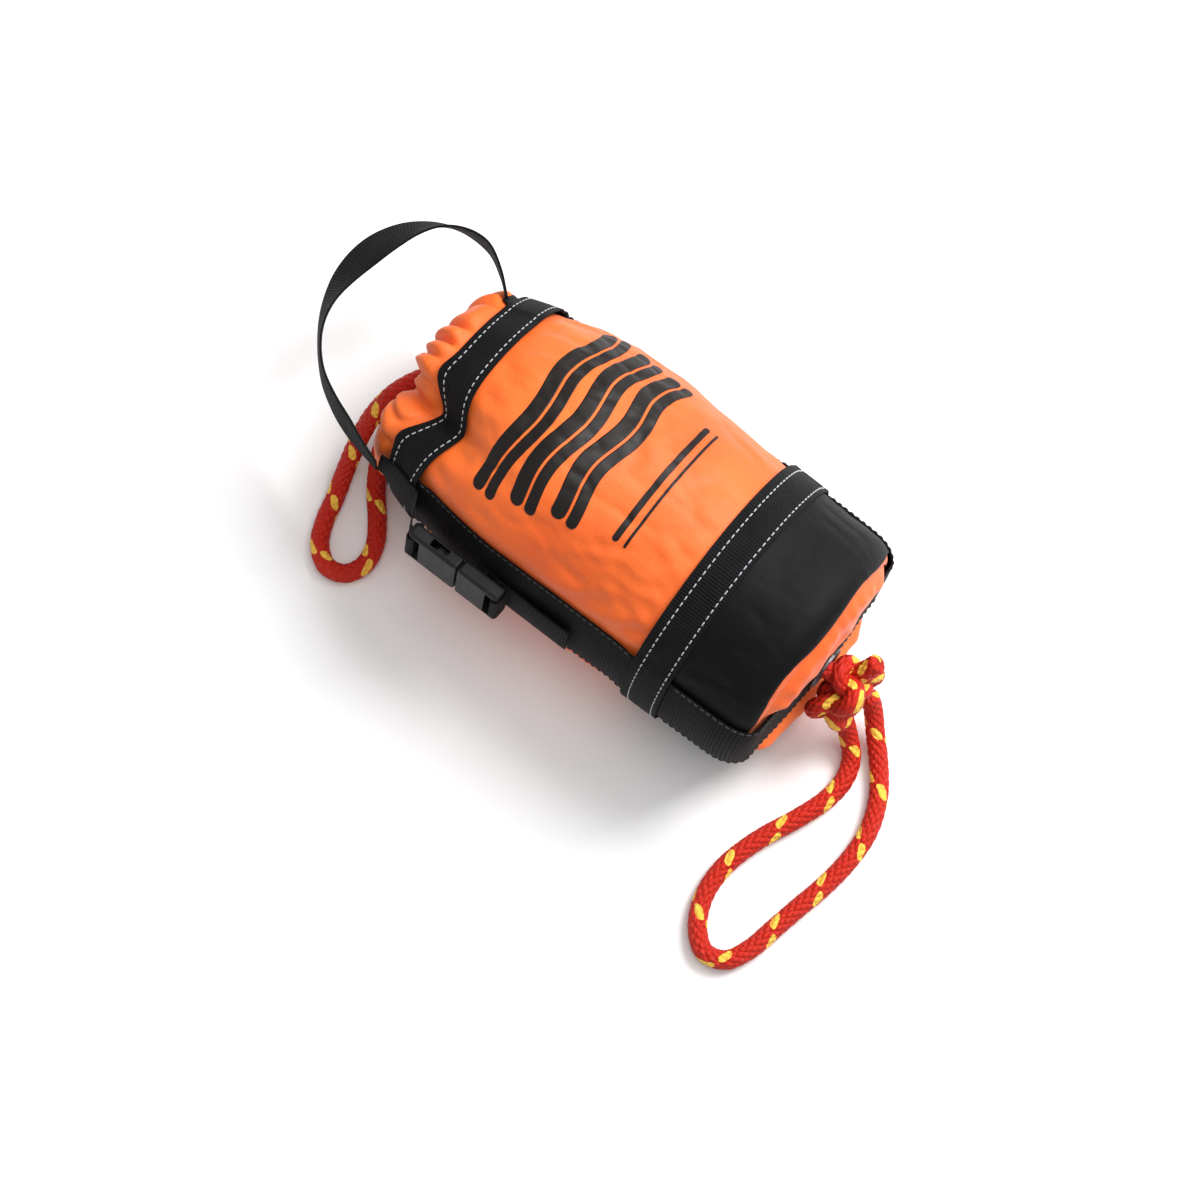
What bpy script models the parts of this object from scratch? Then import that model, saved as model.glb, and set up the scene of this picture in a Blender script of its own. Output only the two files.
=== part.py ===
"""Throw rope bag, lying on its side: bag axis along X, mouth at -X, near side at -Y, +Z up."""

import math

import bmesh
import bpy
from mathutils import Matrix, Vector

MM = 0.001
OBJECT_NAME = "throw_rope_bag"

# Bag
BODY_LENGTH = 211 * MM        # edge of the mouth band to the base rim
BELLY_RADIUS = 63.4 * MM      # outer face of the body at its fattest
NECK_RADIUS = 50.0 * MM       # outer face of the body at the mouth edge
BASE_RADIUS = 61.0 * MM
SHOULDER_LENGTH = 5.224 * (BELLY_RADIUS - NECK_RADIUS)   # stretch over which the mouth end narrows
RIM_DEPTH = 12 * MM           # rounding at the base, along the axis
RIM_DROP = 6.5 * MM           # rounding at the base, across the axis
BASE_DOME = 3.5 * MM          # how far the base disc bulges
FLATTENING = 6.8 * MM         # how far the underside is pressed flat
FLOOR_BLEND = 8 * MM          # length of a step in the flat underside
MOUTH_SAG = 4 * MM            # how far the mouth's centre hangs below the belly's
GATHER_DEPTH = 13.8 * MM      # how far the gathers bulge beyond the mouth band
THROAT_ROOM = 12 * MM         # the throat's radius beyond the rope's diameter
DENT_DEPTH = 9 * MM
DENT_WIDTH = 11 * MM
DENT_ANGLE = math.radians(119)

# Fabric and webbing
FABRIC = 0.8 * MM
WEBBING = 1.2 * MM
GAP = 0.45 * MM
BAND_WIDTH = 19.2 * MM        # mouth band
TAPE_WIDTH = 20 * MM          # tape on the sleeve's top edge
SLEEVE_HEIGHT = 61.8 * MM
SIDE_STRAP_WIDTH = 44 * MM
SIDE_STRAP_TILT = math.radians(-10)   # far side low, near side high
STRAP_WIDTH = 20 * MM         # carry strap

# Mouth hem, drawcord and cord lock
HEM_RADIUS = 4.2 * MM
HEM_SLOT = math.radians(90)
DRAWCORD = 3 * MM
LOCK_RADIUS = 6.4 * MM
LOCK_LENGTH = 19.5 * MM
LOCK_BORE = 4.4 * MM          # radius of the plunger's bore
PLUNGER_HEAD = 5.4 * MM
PLUNGER_TRAVEL = 2.5 * MM
RUNNING_GAP = 0.3 * MM
SPRING_WIRE = 0.7 * MM

# Rope, foam and grommet
ROPE = 9.5 * MM
ROPE_PACK_LENGTH = 138 * MM
FOAM_THICKNESS = 22 * MM
FOAM_RADIUS = 52 * MM
GROMMET_RADIUS = 11 * MM
GROMMET_LIP = 1.2 * MM
LEAD_REACH = 8.6 * MM         # how far the rope runs out past the base rim before its knot
STOPPER_ROOM = 20 * MM        # room for the stopper knot between foam and rope pack
MOUTH_KNOT_INSET = 14 * MM

# Side-release buckle on the near side strap
BUCKLE_INSET = 30.5 * MM      # from the mouth edge to its mouth-side end
BUCKLE_ANGLE = math.radians(170)
BUCKLE_WIDTH = 26 * MM
BUCKLE_HEIGHT = 7.5 * MM
SOCKET_LENGTH = 28 * MM
PLUG_LENGTH = 23.6 * MM
CAVITY_WIDTH = 20.4 * MM
CAVITY_HEIGHT = 4.2 * MM
CAVITY_DEPTH = 18.5 * MM
BAR = 2.6 * MM                # webbing bar
SLOT = 4.2 * MM               # webbing slot beside the bar
ARM_WIDTH = 2.6 * MM
ARM_HEIGHT = 3.4 * MM
ARM_LENGTH = 15.5 * MM
PRONG_WIDTH = 4 * MM
TAB_REACH = 87 * MM           # from there to the sewn end of the plug's webbing tab

# Heights that the routes are drawn for: they rise with the bag's axis, but not where they lie down
DRAWN_AXIS = 56.6 * MM
LYING = 10 * MM
RAISED = 45 * MM

SIDES = 36

THROAT_RADIUS = ROPE + THROAT_ROOM
MOUTH_X = -BODY_LENGTH / 2
BASE_X = BODY_LENGTH / 2
SLEEVE_X = BASE_X - SLEEVE_HEIGHT
BUCKLE_X = MOUTH_X + BUCKLE_INSET
TAB_END = BUCKLE_X + TAB_REACH
STRAP_IN = FABRIC + 3 * GAP
STRAP_OUT = STRAP_IN + WEBBING
BAND_IN = STRAP_OUT + GAP
BAND_OUT = BAND_IN + WEBBING
AXIS_HEIGHT = BELLY_RADIUS - FLATTENING
FOAM_X = BASE_X - GAP - FOAM_THICKNESS

ORANGE = (0.90, 0.22, 0.03)
BLACK = (0.012, 0.012, 0.014)
RED = (0.45, 0.03, 0.015)
FOAM_WHITE = (0.85, 0.85, 0.82)
STEEL = (0.55, 0.55, 0.56)


# ---------------------------------------------------------------- scene helpers

def clear_scene():
    for obj in list(bpy.data.objects):
        bpy.data.objects.remove(obj, do_unlink=True)


def make_collection(name):
    collection = bpy.data.collections.new(name)
    bpy.context.scene.collection.children.link(collection)
    return collection


def make_material(name, colour, roughness, metallic=0.0):
    material = bpy.data.materials.new(name)
    material.use_nodes = True
    shader = material.node_tree.nodes["Principled BSDF"]
    shader.inputs["Base Color"].default_value = (*colour, 1.0)
    shader.inputs["Roughness"].default_value = roughness
    shader.inputs["Metallic"].default_value = metallic
    return material


def add_mesh(name, bm, look, parts, parent=None):
    bmesh.ops.recalc_face_normals(bm, faces=bm.faces)
    mesh = bpy.data.meshes.new(name)
    bm.to_mesh(mesh)
    bm.free()
    mesh.shade_smooth()
    mesh.set_sharp_from_angle(angle=math.radians(35))
    obj = bpy.data.objects.new(name, mesh)
    parts.objects.link(obj)
    obj.parent = parent
    mesh.materials.append(make_material(name, *look))
    return obj


def add_cutter(bm, cutters, parent=None):
    bmesh.ops.recalc_face_normals(bm, faces=bm.faces)
    mesh = bpy.data.meshes.new("cutter")
    bm.to_mesh(mesh)
    bm.free()
    obj = bpy.data.objects.new("cutter", mesh)
    cutters.objects.link(obj)
    obj.parent = parent
    obj.hide_render = True
    obj.display_type = "WIRE"
    return obj


def boolean(obj, other, operation="DIFFERENCE"):
    modifier = obj.modifiers.new("boolean", "BOOLEAN")
    modifier.operation = operation
    modifier.object = other


def solidify(obj, thickness):
    modifier = obj.modifiers.new("wall", "SOLIDIFY")
    modifier.thickness = thickness
    modifier.offset = 0.0
    modifier.use_even_offset = True


def box(low, high):
    bm = bmesh.new()
    bmesh.ops.create_cube(bm, size=1.0)
    size = Vector(high) - Vector(low)
    centre = (Vector(high) + Vector(low)) / 2
    bmesh.ops.scale(bm, vec=size, verts=bm.verts)
    bmesh.ops.translate(bm, vec=centre, verts=bm.verts)
    return bm


def rounded_box(low, high, radius):
    bm = box(low, high)
    bmesh.ops.bevel(bm, geom=bm.edges[:], offset=radius, segments=2, affect="EDGES", profile=0.5)
    return bm


def cylinder(radius, start, end, segments=24):
    """A closed cylinder between two points."""
    start, end = Vector(start), Vector(end)
    bm = bmesh.new()
    turn = (end - start).to_track_quat("Z", "Y").to_matrix().to_4x4()
    place = Matrix.Translation((start + end) / 2) @ turn
    bmesh.ops.create_cone(bm, cap_ends=True, segments=segments, radius1=radius, radius2=radius,
                          depth=(end - start).length, matrix=place)
    return bm


# ---------------------------------------------------------------- shape of the bag

def shoulder(x):
    """0 over the belly, rising to 1 at the mouth edge."""
    along = (MOUTH_X + SHOULDER_LENGTH - x) / SHOULDER_LENGTH
    return min(max(along, 0.0), 1.0) ** 2


def body_radius(x):
    narrowing = (BELLY_RADIUS - NECK_RADIUS) * shoulder(x)
    taper = (BELLY_RADIUS - BASE_RADIUS) * min(max(x / (BASE_X - RIM_DEPTH), 0.0), 1.0)
    return BELLY_RADIUS - narrowing - taper


def axis_height(x):
    return AXIS_HEIGHT - MOUTH_SAG * shoulder(x)


def ramp(x, start, end):
    t = min(max((x - start) / (end - start), 0.0), 1.0)
    return t * t * (3 - 2 * t)


def floor_height(x):
    """Height of the body's flat underside: it steps up by the layers that lie under it."""
    band = 1 - ramp(x, MOUTH_X + BAND_WIDTH, MOUTH_X + BAND_WIDTH + FLOOR_BLEND)
    tape = ramp(x, SLEEVE_X - FLOOR_BLEND, SLEEVE_X)
    past_tape = ramp(x, SLEEVE_X + TAPE_WIDTH, SLEEVE_X + TAPE_WIDTH + FLOOR_BLEND)
    sleeve = FABRIC + GAP
    return BAND_OUT * band + BAND_OUT * tape - (BAND_OUT - sleeve) * past_tape


def settle(point, offset):
    """Moves a point of a turned layer to where the bag lies: sagged, dented and flat below."""
    x, y, z = point
    radius = math.hypot(y, z)
    angle = math.atan2(z, y)
    across = (angle - DENT_ANGLE) * NECK_RADIUS / DENT_WIDTH
    dent = DENT_DEPTH * math.exp(-across * across) * math.sqrt(shoulder(x))
    radius = radius - dent * min(radius / NECK_RADIUS, 1.0) ** 2
    height = axis_height(x) + radius * math.sin(angle)
    return Vector((x, radius * math.cos(angle), max(height, floor_height(x) - offset)))


def tube_outline(start, end, offset, stations):
    """Points (x, radius) of a layer along the bag's side and round its rim."""
    points = []
    for x in stations:
        if start - 1e-9 <= x <= end + 1e-9 and x <= BASE_X - RIM_DEPTH + 1e-9:
            points.append((x, body_radius(x) + offset))
    if end > BASE_X - RIM_DEPTH:
        for step in range(1, 5):
            turn = math.radians(22 * step)
            rise = math.cos(turn)
            points.append((BASE_X - RIM_DEPTH + (RIM_DEPTH + offset) * math.sin(turn),
                           BASE_RADIUS - RIM_DROP + (RIM_DROP + offset) * rise))
    return points


def side_stations():
    """Shared stations along the bag, so that nested layers have matching facets."""
    band_end = MOUTH_X + BAND_WIDTH
    tape_end = SLEEVE_X + TAPE_WIDTH
    rim = BASE_X - RIM_DEPTH
    inner = [MOUTH_X + BAND_WIDTH * k / 3 for k in range(4)]
    low, high = band_end + FLOOR_BLEND, SLEEVE_X - FLOOR_BLEND
    inner += [low + (high - low) * k / 8 for k in range(9)]
    inner += [SLEEVE_X + TAPE_WIDTH * k / 2 for k in range(3)]
    inner += [tape_end + (rim - tape_end) * k / 3 for k in range(1, 4)]
    return inner


def spun(outline, offset, settled=True, sides=SIDES):
    """An open turned surface about the bag's axis, settled to where it lies."""
    bm = bmesh.new()
    start = Matrix.Rotation(math.pi / sides, 4, "X")
    verts = [bm.verts.new(start @ Vector((x, radius, 0))) for x, radius in outline]
    edges = [bm.edges.new(pair) for pair in zip(verts, verts[1:])]
    bmesh.ops.spin(bm, geom=verts + edges, cent=(0, 0, 0), axis=(1, 0, 0), angle=math.tau,
                   steps=sides, use_merge=True)
    bmesh.ops.remove_doubles(bm, verts=bm.verts, dist=1e-6)
    if settled:
        for vert in bm.verts:
            vert.co = settle(vert.co, offset)
    return bm


def turned_solid(outline, sides=SIDES, height=AXIS_HEIGHT):
    """A closed ring turned about the bag's axis, from its closed section."""
    bm = spun(outline + outline[:1], 0, settled=False, sides=sides)
    bmesh.ops.translate(bm, vec=(0, 0, height), verts=bm.verts)
    return bm


# ---------------------------------------------------------------- bag

def gather_outline():
    """The fabric beyond the mouth band, bulging out and turning in to the throat."""
    middle = (NECK_RADIUS + THROAT_RADIUS) / 2
    half = (NECK_RADIUS - THROAT_RADIUS) / 2
    points = []
    for degrees in (-48, -26, 0, 28, 58, 78):
        turn = math.radians(degrees)
        points.append((MOUTH_X - GATHER_DEPTH * math.cos(turn), middle + half * math.sin(turn)))
    return points


def make_bag_body(parts):
    offset = -FABRIC / 2
    outline = gather_outline() + tube_outline(MOUTH_X, BASE_X, offset, side_stations())
    body = add_mesh("bag_body", spun(outline, offset), (ORANGE, 0.6), parts)
    solidify(body, FABRIC)


def make_mouth_hem(parts):
    """C-section channel for the drawcord, open towards the front."""
    points = []
    steps = 8
    for step in range(steps + 1):
        turn = math.pi + HEM_SLOT / 2 + (math.tau - HEM_SLOT) * step / steps
        points.append((hem_x() + HEM_RADIUS * math.cos(turn), hem_ring() + HEM_RADIUS * math.sin(turn)))
    hem = add_mesh("mouth_hem", spun(points, 0), (ORANGE, 0.65), parts)
    solidify(hem, FABRIC)


def hem_ring():
    return THROAT_RADIUS - 1.9 * MM


def hem_x():
    return MOUTH_X - GATHER_DEPTH + 6.1 * MM


def make_band(name, start, width, parts):
    offset = BAND_IN + WEBBING / 2
    outline = tube_outline(start, start + width, offset, side_stations())
    band = add_mesh(name, spun(outline, offset), (BLACK, 0.75), parts)
    solidify(band, WEBBING)


def make_base_sleeve(parts):
    offset = GAP + FABRIC / 2
    outline = tube_outline(SLEEVE_X, BASE_X, offset, side_stations())
    sleeve = add_mesh("base_sleeve", spun(outline, offset), (BLACK, 0.8), parts)
    solidify(sleeve, FABRIC)


def disc_x(radius):
    edge = BASE_RADIUS - RIM_DROP
    return BASE_X + FABRIC + BASE_DOME * (1 - min(radius / edge, 1.0) ** 2)


def make_base_disc(parts):
    edge = BASE_RADIUS - RIM_DROP - 2 * FABRIC - GAP
    bore = ROPE / 2 + RUNNING_GAP + 2 * GAP
    radii = [edge - (edge - bore) * k / 5 for k in range(6)]
    outline = [(disc_x(radius) - FABRIC / 2, radius) for radius in radii]
    bm = spun(outline, 0, settled=False)
    bmesh.ops.translate(bm, vec=(0, 0, AXIS_HEIGHT), verts=bm.verts)
    disc = add_mesh("base_disc", bm, (ORANGE, 0.6), parts)
    solidify(disc, FABRIC)
    return disc


def strap_point(along, across, offset):
    """A point of the side strap: along runs 0..1 from the mouth, over the base, to the mouth."""
    side = -1 if along < 0.5 else 1
    run = 1 - abs(2 * along - 1)
    edge = BASE_RADIUS - RIM_DROP
    if run < 0.70:
        x = MOUTH_X + 1 * MM + (BASE_X - RIM_DEPTH - MOUTH_X - 1 * MM) * run / 0.70
        radius = body_radius(x) + offset
    elif run < 0.80:
        turn = math.radians(90) * (run - 0.70) / 0.10
        x = BASE_X - RIM_DEPTH + (RIM_DEPTH + offset) * math.sin(turn)
        radius = edge + (RIM_DROP + offset) * math.cos(turn)
    else:
        radius = math.hypot(edge * (1 - (run - 0.80) / 0.20), across)
        x = max(disc_x(radius) + offset - STRAP_IN + GAP, BASE_X + offset)
        return Matrix.Rotation(SIDE_STRAP_TILT, 3, "X") @ Vector(
            (x, side * edge * (1 - (run - 0.80) / 0.20), across))
    return Matrix.Rotation(SIDE_STRAP_TILT, 3, "X") @ Vector(
        (x, side * math.sqrt(radius * radius - across * across), across))


def make_side_strap(parts, cutters):
    """One length of webbing: down the near side, across the base and up the far side."""
    offset = STRAP_IN + WEBBING / 2
    long_steps, wide_steps = 64, 6
    bm = bmesh.new()
    bmesh.ops.create_grid(bm, x_segments=long_steps, y_segments=wide_steps, size=0.5)
    for vert in bm.verts:
        along = vert.co.x + 0.5
        point = strap_point(along, vert.co.y * SIDE_STRAP_WIDTH, offset)
        vert.co = (point.x, point.y, point.z + axis_height(point.x))
    strap = add_mesh("side_strap", bm, (BLACK, 0.75), parts)
    solidify(strap, WEBBING)
    bore = ROPE / 2 + RUNNING_GAP + 2 * GAP
    hole = cylinder(bore, (BASE_X - 8 * MM, 0, AXIS_HEIGHT), (BASE_X + 20 * MM, 0, AXIS_HEIGHT))
    boolean(strap, add_cutter(hole, cutters))


def make_grommet(parts):
    outer = disc_x(0) + GAP + WEBBING + GAP
    inner = disc_x(GROMMET_RADIUS) - FABRIC - GAP
    bore = ROPE / 2 + RUNNING_GAP
    eyelet = [(inner + 0.2 * MM, bore), (outer + GROMMET_LIP, bore), (outer + GROMMET_LIP, GROMMET_RADIUS),
              (outer, GROMMET_RADIUS), (outer, bore + GAP), (inner + 0.2 * MM, bore + GAP)]
    add_mesh("base_grommet", turned_solid(eyelet, 32), (STEEL, 0.35, 1.0), parts)
    washer = [(inner - GROMMET_LIP, bore), (inner, bore), (inner, GROMMET_RADIUS),
              (inner - GROMMET_LIP, GROMMET_RADIUS)]
    add_mesh("grommet_washer", turned_solid(washer, 32), (STEEL, 0.35, 1.0), parts)


# ---------------------------------------------------------------- rope

def smooth_route(route, step):
    """Points about one step apart on a centripetal Catmull-Rom curve through the route."""
    points = [Vector(point) * MM for point in route]
    ends = [2 * points[0] - points[1]] + points + [2 * points[-1] - points[-2]]
    fine = []
    for p0, p1, p2, p3 in zip(ends, ends[1:], ends[2:], ends[3:]):
        knots = [0.0]
        for a, b in ((p0, p1), (p1, p2), (p2, p3)):
            knots.append(knots[-1] + math.sqrt((b - a).length))
        t0, t1, t2, t3 = knots
        for k in range(16):
            t = t1 + (t2 - t1) * k / 16
            a1 = p0 * (t1 - t) / (t1 - t0) + p1 * (t - t0) / (t1 - t0)
            a2 = p1 * (t2 - t) / (t2 - t1) + p2 * (t - t1) / (t2 - t1)
            a3 = p2 * (t3 - t) / (t3 - t2) + p3 * (t - t2) / (t3 - t2)
            b1 = a1 * (t2 - t) / (t2 - t0) + a2 * (t - t0) / (t2 - t0)
            b2 = a2 * (t3 - t) / (t3 - t1) + a3 * (t - t1) / (t3 - t1)
            fine.append(b1 * (t2 - t) / (t2 - t1) + b2 * (t - t1) / (t2 - t1))
    fine.append(points[-1])
    return resample(fine, step)


def placed(route, edge):
    """A route drawn from the mouth edge or the base rim, moved to where that edge and the axis are."""
    lift = (AXIS_HEIGHT - DRAWN_AXIS) / MM
    moved = []
    for x, y, z, *rest in route:
        share = min(max((z * MM - LYING) / (RAISED - LYING), 0.0), 1.0)
        moved.append((edge / MM + x, y, z + lift * share, *rest))
    return moved


def resample(points, step):
    lengths = [0.0]
    for a, b in zip(points, points[1:]):
        lengths.append(lengths[-1] + (b - a).length)
    count = max(2, round(lengths[-1] / step))
    even = []
    place = 0
    for k in range(count + 1):
        target = lengths[-1] * k / count
        while place < len(points) - 2 and lengths[place + 1] < target:
            place += 1
        share = (target - lengths[place]) / max(lengths[place + 1] - lengths[place], 1e-9)
        even.append(points[place].lerp(points[place + 1], min(max(share, 0.0), 1.0)))
    return even


def tube(name, points, diameter, look, parts):
    curve = bpy.data.curves.new(name, "CURVE")
    curve.dimensions = "3D"
    curve.bevel_depth = diameter / 2
    curve.bevel_resolution = 2
    curve.use_fill_caps = True
    spline = curve.splines.new("POLY")
    spline.points.add(len(points) - 1)
    for target, point in zip(spline.points, points):
        target.co = (*point, 1.0)
    obj = bpy.data.objects.new(name, curve)
    curve.materials.append(make_material(name, *look))
    parts.objects.link(obj)
    return obj


# Routes through the rope's centre, in millimetres: x from the mouth edge or the base rim
MOUTH_LOOP_ROUTE = [
    (2.5, 6, 56), (-7.5, 3, 57), (-15.5, -3.5, 56), (-24, -16, 49), (-29, -30, 35.5), (-30, -44, 19),
    (-28, -57, 8.5), (-24.5, -69, 5.2), (-21.5, -80, 5), (-16, -91, 5), (-6.5, -97.5, 5), (3, -95, 5),
    (7.5, -86, 5), (5.5, -75, 5), (-2, -64, 5), (-10, -55, 6), (-16, -45.5, 12), (-19.5, -36, 21),
    (-21.5, -26, 32), (-19.5, -17, 41.5), (-13.5, -9, 46.8), (-6.5, -5, 48.6), (2.5, -4.5, 49)]
BASE_LOOP_ROUTE = [
    (25.5, -7, 26), (31.5, -10, 14), (39.5, -17, 6.5), (43, -27, 5), (42, -40, 5), (36.5, -56, 5),
    (29.5, -72, 5), (25, -86, 5), (23, -99, 5), (24.5, -113, 5), (31, -126, 5), (40.5, -133, 5),
    (50.5, -130, 5), (56.5, -119, 5), (59.5, -105, 5), (62.5, -90, 5), (66, -74, 5), (68, -57, 5),
    (67, -40, 5), (61, -24, 5), (51.5, -11, 5.5), (41.5, -1, 10), (34, 6, 18), (28.5, 8.5, 28)]
KNOT_TAIL_ROUTE = [
    (21.8, 9.6, 57.2), (23.6, 12.7, 61.3), (25.5, 15.9, 65.5)]
BASE_KNOT_CENTRE = (19.5, 0, 42)
BASE_KNOT_SIZE = (10.4, 17, 18.5)      # half sizes, as for the other knots
STOPPER_SIZE = (9, 17, 16)
MOUTH_KNOT_SIZE = (9.5, 17, 15)


def knot(name, centre, half, parts):
    """A knot's outer shape, as one plain closed solid."""
    bm = bmesh.new()
    bmesh.ops.create_uvsphere(bm, u_segments=16, v_segments=10, radius=1.0)
    bmesh.ops.scale(bm, vec=Vector(half) * MM, verts=bm.verts)
    bmesh.ops.translate(bm, vec=centre, verts=bm.verts)
    add_mesh(name, bm, (RED, 0.7), parts)


def make_rope(parts):
    look = (RED, 0.7)
    step = 1.2 * ROPE
    tube("mouth_loop", smooth_route(placed(MOUTH_LOOP_ROUTE, MOUTH_X), step), ROPE, look, parts)
    lead = [Vector((x, 0, AXIS_HEIGHT)) for x in (FOAM_X + GAP, BASE_X, BASE_X + LEAD_REACH)]
    tube("base_lead", lead, ROPE, look, parts)
    tube("base_loop", smooth_route(placed(BASE_LOOP_ROUTE, BASE_X), step), ROPE, look, parts)
    tube("knot_tail", smooth_route(placed(KNOT_TAIL_ROUTE, BASE_X), step / 2), ROPE, look, parts)
    knot("base_knot", Vector(placed([BASE_KNOT_CENTRE], BASE_X)[0]) * MM, BASE_KNOT_SIZE, parts)
    knot("stopper_knot", (FOAM_X - GAP - STOPPER_SIZE[0] * MM, 0, AXIS_HEIGHT), STOPPER_SIZE, parts)
    knot("mouth_knot", (MOUTH_X + MOUTH_KNOT_INSET, 0, axis_height(MOUTH_X)), MOUTH_KNOT_SIZE, parts)


def make_rope_pack(parts):
    """The outer shape of the stuffed rope, flat below like the bag round it."""
    clearance = 3 * MM
    bore = 9 * MM
    start = FOAM_X - STOPPER_ROOM - ROPE_PACK_LENGTH
    end = start + ROPE_PACK_LENGTH
    stations = [start] + [x for x in side_stations() if start < x < end] + [end]
    section = [(x, body_radius(x) - clearance) for x in stations]
    section += [(stations[-1], bore), (stations[0], bore), section[0]]
    bm = spun(section, -clearance)
    add_mesh("rope_pack", bm, (RED, 0.75), parts)


def make_foam(parts):
    bore = ROPE / 2 + 1 * MM
    section = [(FOAM_X, FOAM_RADIUS), (FOAM_X + FOAM_THICKNESS, FOAM_RADIUS),
               (FOAM_X + FOAM_THICKNESS, bore), (FOAM_X, bore)]
    add_mesh("float_foam", turned_solid(section, 40), (FOAM_WHITE, 0.9), parts)


# ---------------------------------------------------------------- drawcord and cord lock

LOCK_X = MOUTH_X - 21.5 * MM
LOCK_Y = -6 * MM
LOCK_Z = 15.5 * MM
TAIL_SPREAD = 1.9 * MM
TAIL_END = 7.2 * MM
LOCK_LOW = -11.5 * MM         # closed end, measured from the cords
LOCK_BOTTOM = -10 * MM        # bottom of the bore
PLUNGER_END = -5 * MM
SLOT_REACH = 3.7 * MM
SLOT_WIDTH = 1.8 * MM
END_KNOT_RADIUS = 3.3 * MM


def drawcord_points():
    """One tail, round the hem's channel and down the other tail."""
    ring = hem_ring()
    centre = axis_height(MOUTH_X)
    leave = math.atan2(-math.sqrt(ring * ring - LOCK_Y * LOCK_Y), LOCK_Y)

    def on_ring(angle, forward):
        return Vector((hem_x() - forward, ring * math.cos(angle), centre + ring * math.sin(angle)))

    def tail(side):
        y = LOCK_Y + side * TAIL_SPREAD
        top = centre - math.sqrt(ring * ring - LOCK_Y * LOCK_Y)
        turn = side * TAIL_SPREAD / ring
        return [Vector((LOCK_X, y, TAIL_END)), Vector((LOCK_X, y, 0.6 * top)),
                Vector((LOCK_X, y, top - 3.5 * MM)), Vector((LOCK_X + 2.5 * MM, y, top + 1 * MM)),
                Vector((LOCK_X + 7 * MM, y, top + 1.4 * MM)), on_ring(leave + turn * 1.3, 2.6 * MM),
                on_ring(leave + turn * 2.1, 0.6 * MM)]

    first = math.radians(17)
    sweep = math.tau - 2 * first
    loop = [on_ring(leave + first + sweep * k / 22, 0) for k in range(23)]
    return tail(1) + loop + tail(-1)[::-1]


def make_drawcord(parts):
    tube("drawcord", drawcord_points(), DRAWCORD, (BLACK, 0.7), parts)
    bm = bmesh.new()
    bmesh.ops.create_uvsphere(bm, u_segments=12, v_segments=8, radius=END_KNOT_RADIUS)
    bmesh.ops.translate(bm, vec=(LOCK_X, LOCK_Y, END_KNOT_RADIUS + 0.1 * MM), verts=bm.verts)
    add_mesh("drawcord_end_knot", bm, (BLACK, 0.7), parts)


def make_cord_lock(parts, cutters):
    """A barrel lock: the plunger slides along Y, both tails pass through along Z."""
    def along(radius, start, end, segments=24):
        return cylinder(radius, (LOCK_X, LOCK_Y + start, LOCK_Z), (LOCK_X, LOCK_Y + end, LOCK_Z), segments)

    def slot(start, end):
        return box((LOCK_X - SLOT_WIDTH, LOCK_Y + start, LOCK_Z - 10 * MM),
                   (LOCK_X + SLOT_WIDTH, LOCK_Y + end, LOCK_Z + 10 * MM))

    mouth = LOCK_LOW + LOCK_LENGTH
    body = add_mesh("cord_lock_body", along(LOCK_RADIUS, LOCK_LOW, mouth), (BLACK, 0.4), parts)
    boolean(body, add_cutter(along(LOCK_BORE, LOCK_BOTTOM, mouth + 5 * MM), cutters))
    boolean(body, add_cutter(slot(-SLOT_REACH, SLOT_REACH), cutters))
    stem = LOCK_BORE - RUNNING_GAP
    plunger = add_mesh("cord_lock_plunger", along(stem, PLUNGER_END, mouth + PLUNGER_TRAVEL + 1 * MM),
                       (BLACK, 0.35), parts)
    head = along(PLUNGER_HEAD, mouth + PLUNGER_TRAVEL + GAP, mouth + PLUNGER_TRAVEL + 3.2 * MM)
    boolean(plunger, add_cutter(head, cutters), "UNION")
    boolean(plunger, add_cutter(slot(-SLOT_REACH, SLOT_REACH + PLUNGER_TRAVEL), cutters))
    coil = []
    pitch = SPRING_WIRE + 0.1 * MM
    for k in range(12 * 2 + 1):
        turn = math.tau * k / 12
        coil.append(Vector((LOCK_X + 3.1 * MM * math.cos(turn),
                            LOCK_Y + LOCK_BOTTOM + SPRING_WIRE / 2 + 0.1 * MM + pitch * k / 12,
                            LOCK_Z + 3.1 * MM * math.sin(turn))))
    tube("cord_lock_spring", coil, SPRING_WIRE, (STEEL, 0.3, 1.0), parts)


# ---------------------------------------------------------------- webbing

# Carry strap: centre of the webbing in millimetres, x from the mouth edge, and its lean from standing on edge in degrees
CARRY_ROUTE = [
    (-5, 44.5, 81.5, 0), (-13.5, 51.5, 83, 0), (-25.5, 58, 81.5, 0), (-39.5, 58.5, 78, 6),
    (-52.5, 54, 75, 22), (-63.5, 44, 73, 42), (-70.5, 31, 72, 58), (-73.5, 17, 71, 58),
    (-73, 2, 70.5, 36), (-69.5, -12, 70, 16), (-62.5, -25, 70, 6), (-52, -36, 70, 6),
    (-39.5, -43, 70.5, 10), (-26.5, -48, 71, 12), (-14.5, -52, 71, 8), (-5.5, -54.5, 71, 0)]
CARRY_FAR_ANGLE = math.radians(33)
CARRY_NEAR_ANGLE = math.radians(162)


def ribbon(name, rows, look, parts, thickness=WEBBING):
    """Webbing through rows of (left, middle, right) points."""
    bm = bmesh.new()
    grid = [[bm.verts.new(point) for point in row] for row in rows]
    for first, second in zip(grid, grid[1:]):
        for k in range(len(first) - 1):
            bm.faces.new((first[k], first[k + 1], second[k + 1], second[k]))
    obj = add_mesh(name, bm, look, parts)
    solidify(obj, thickness)
    return obj


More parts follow.
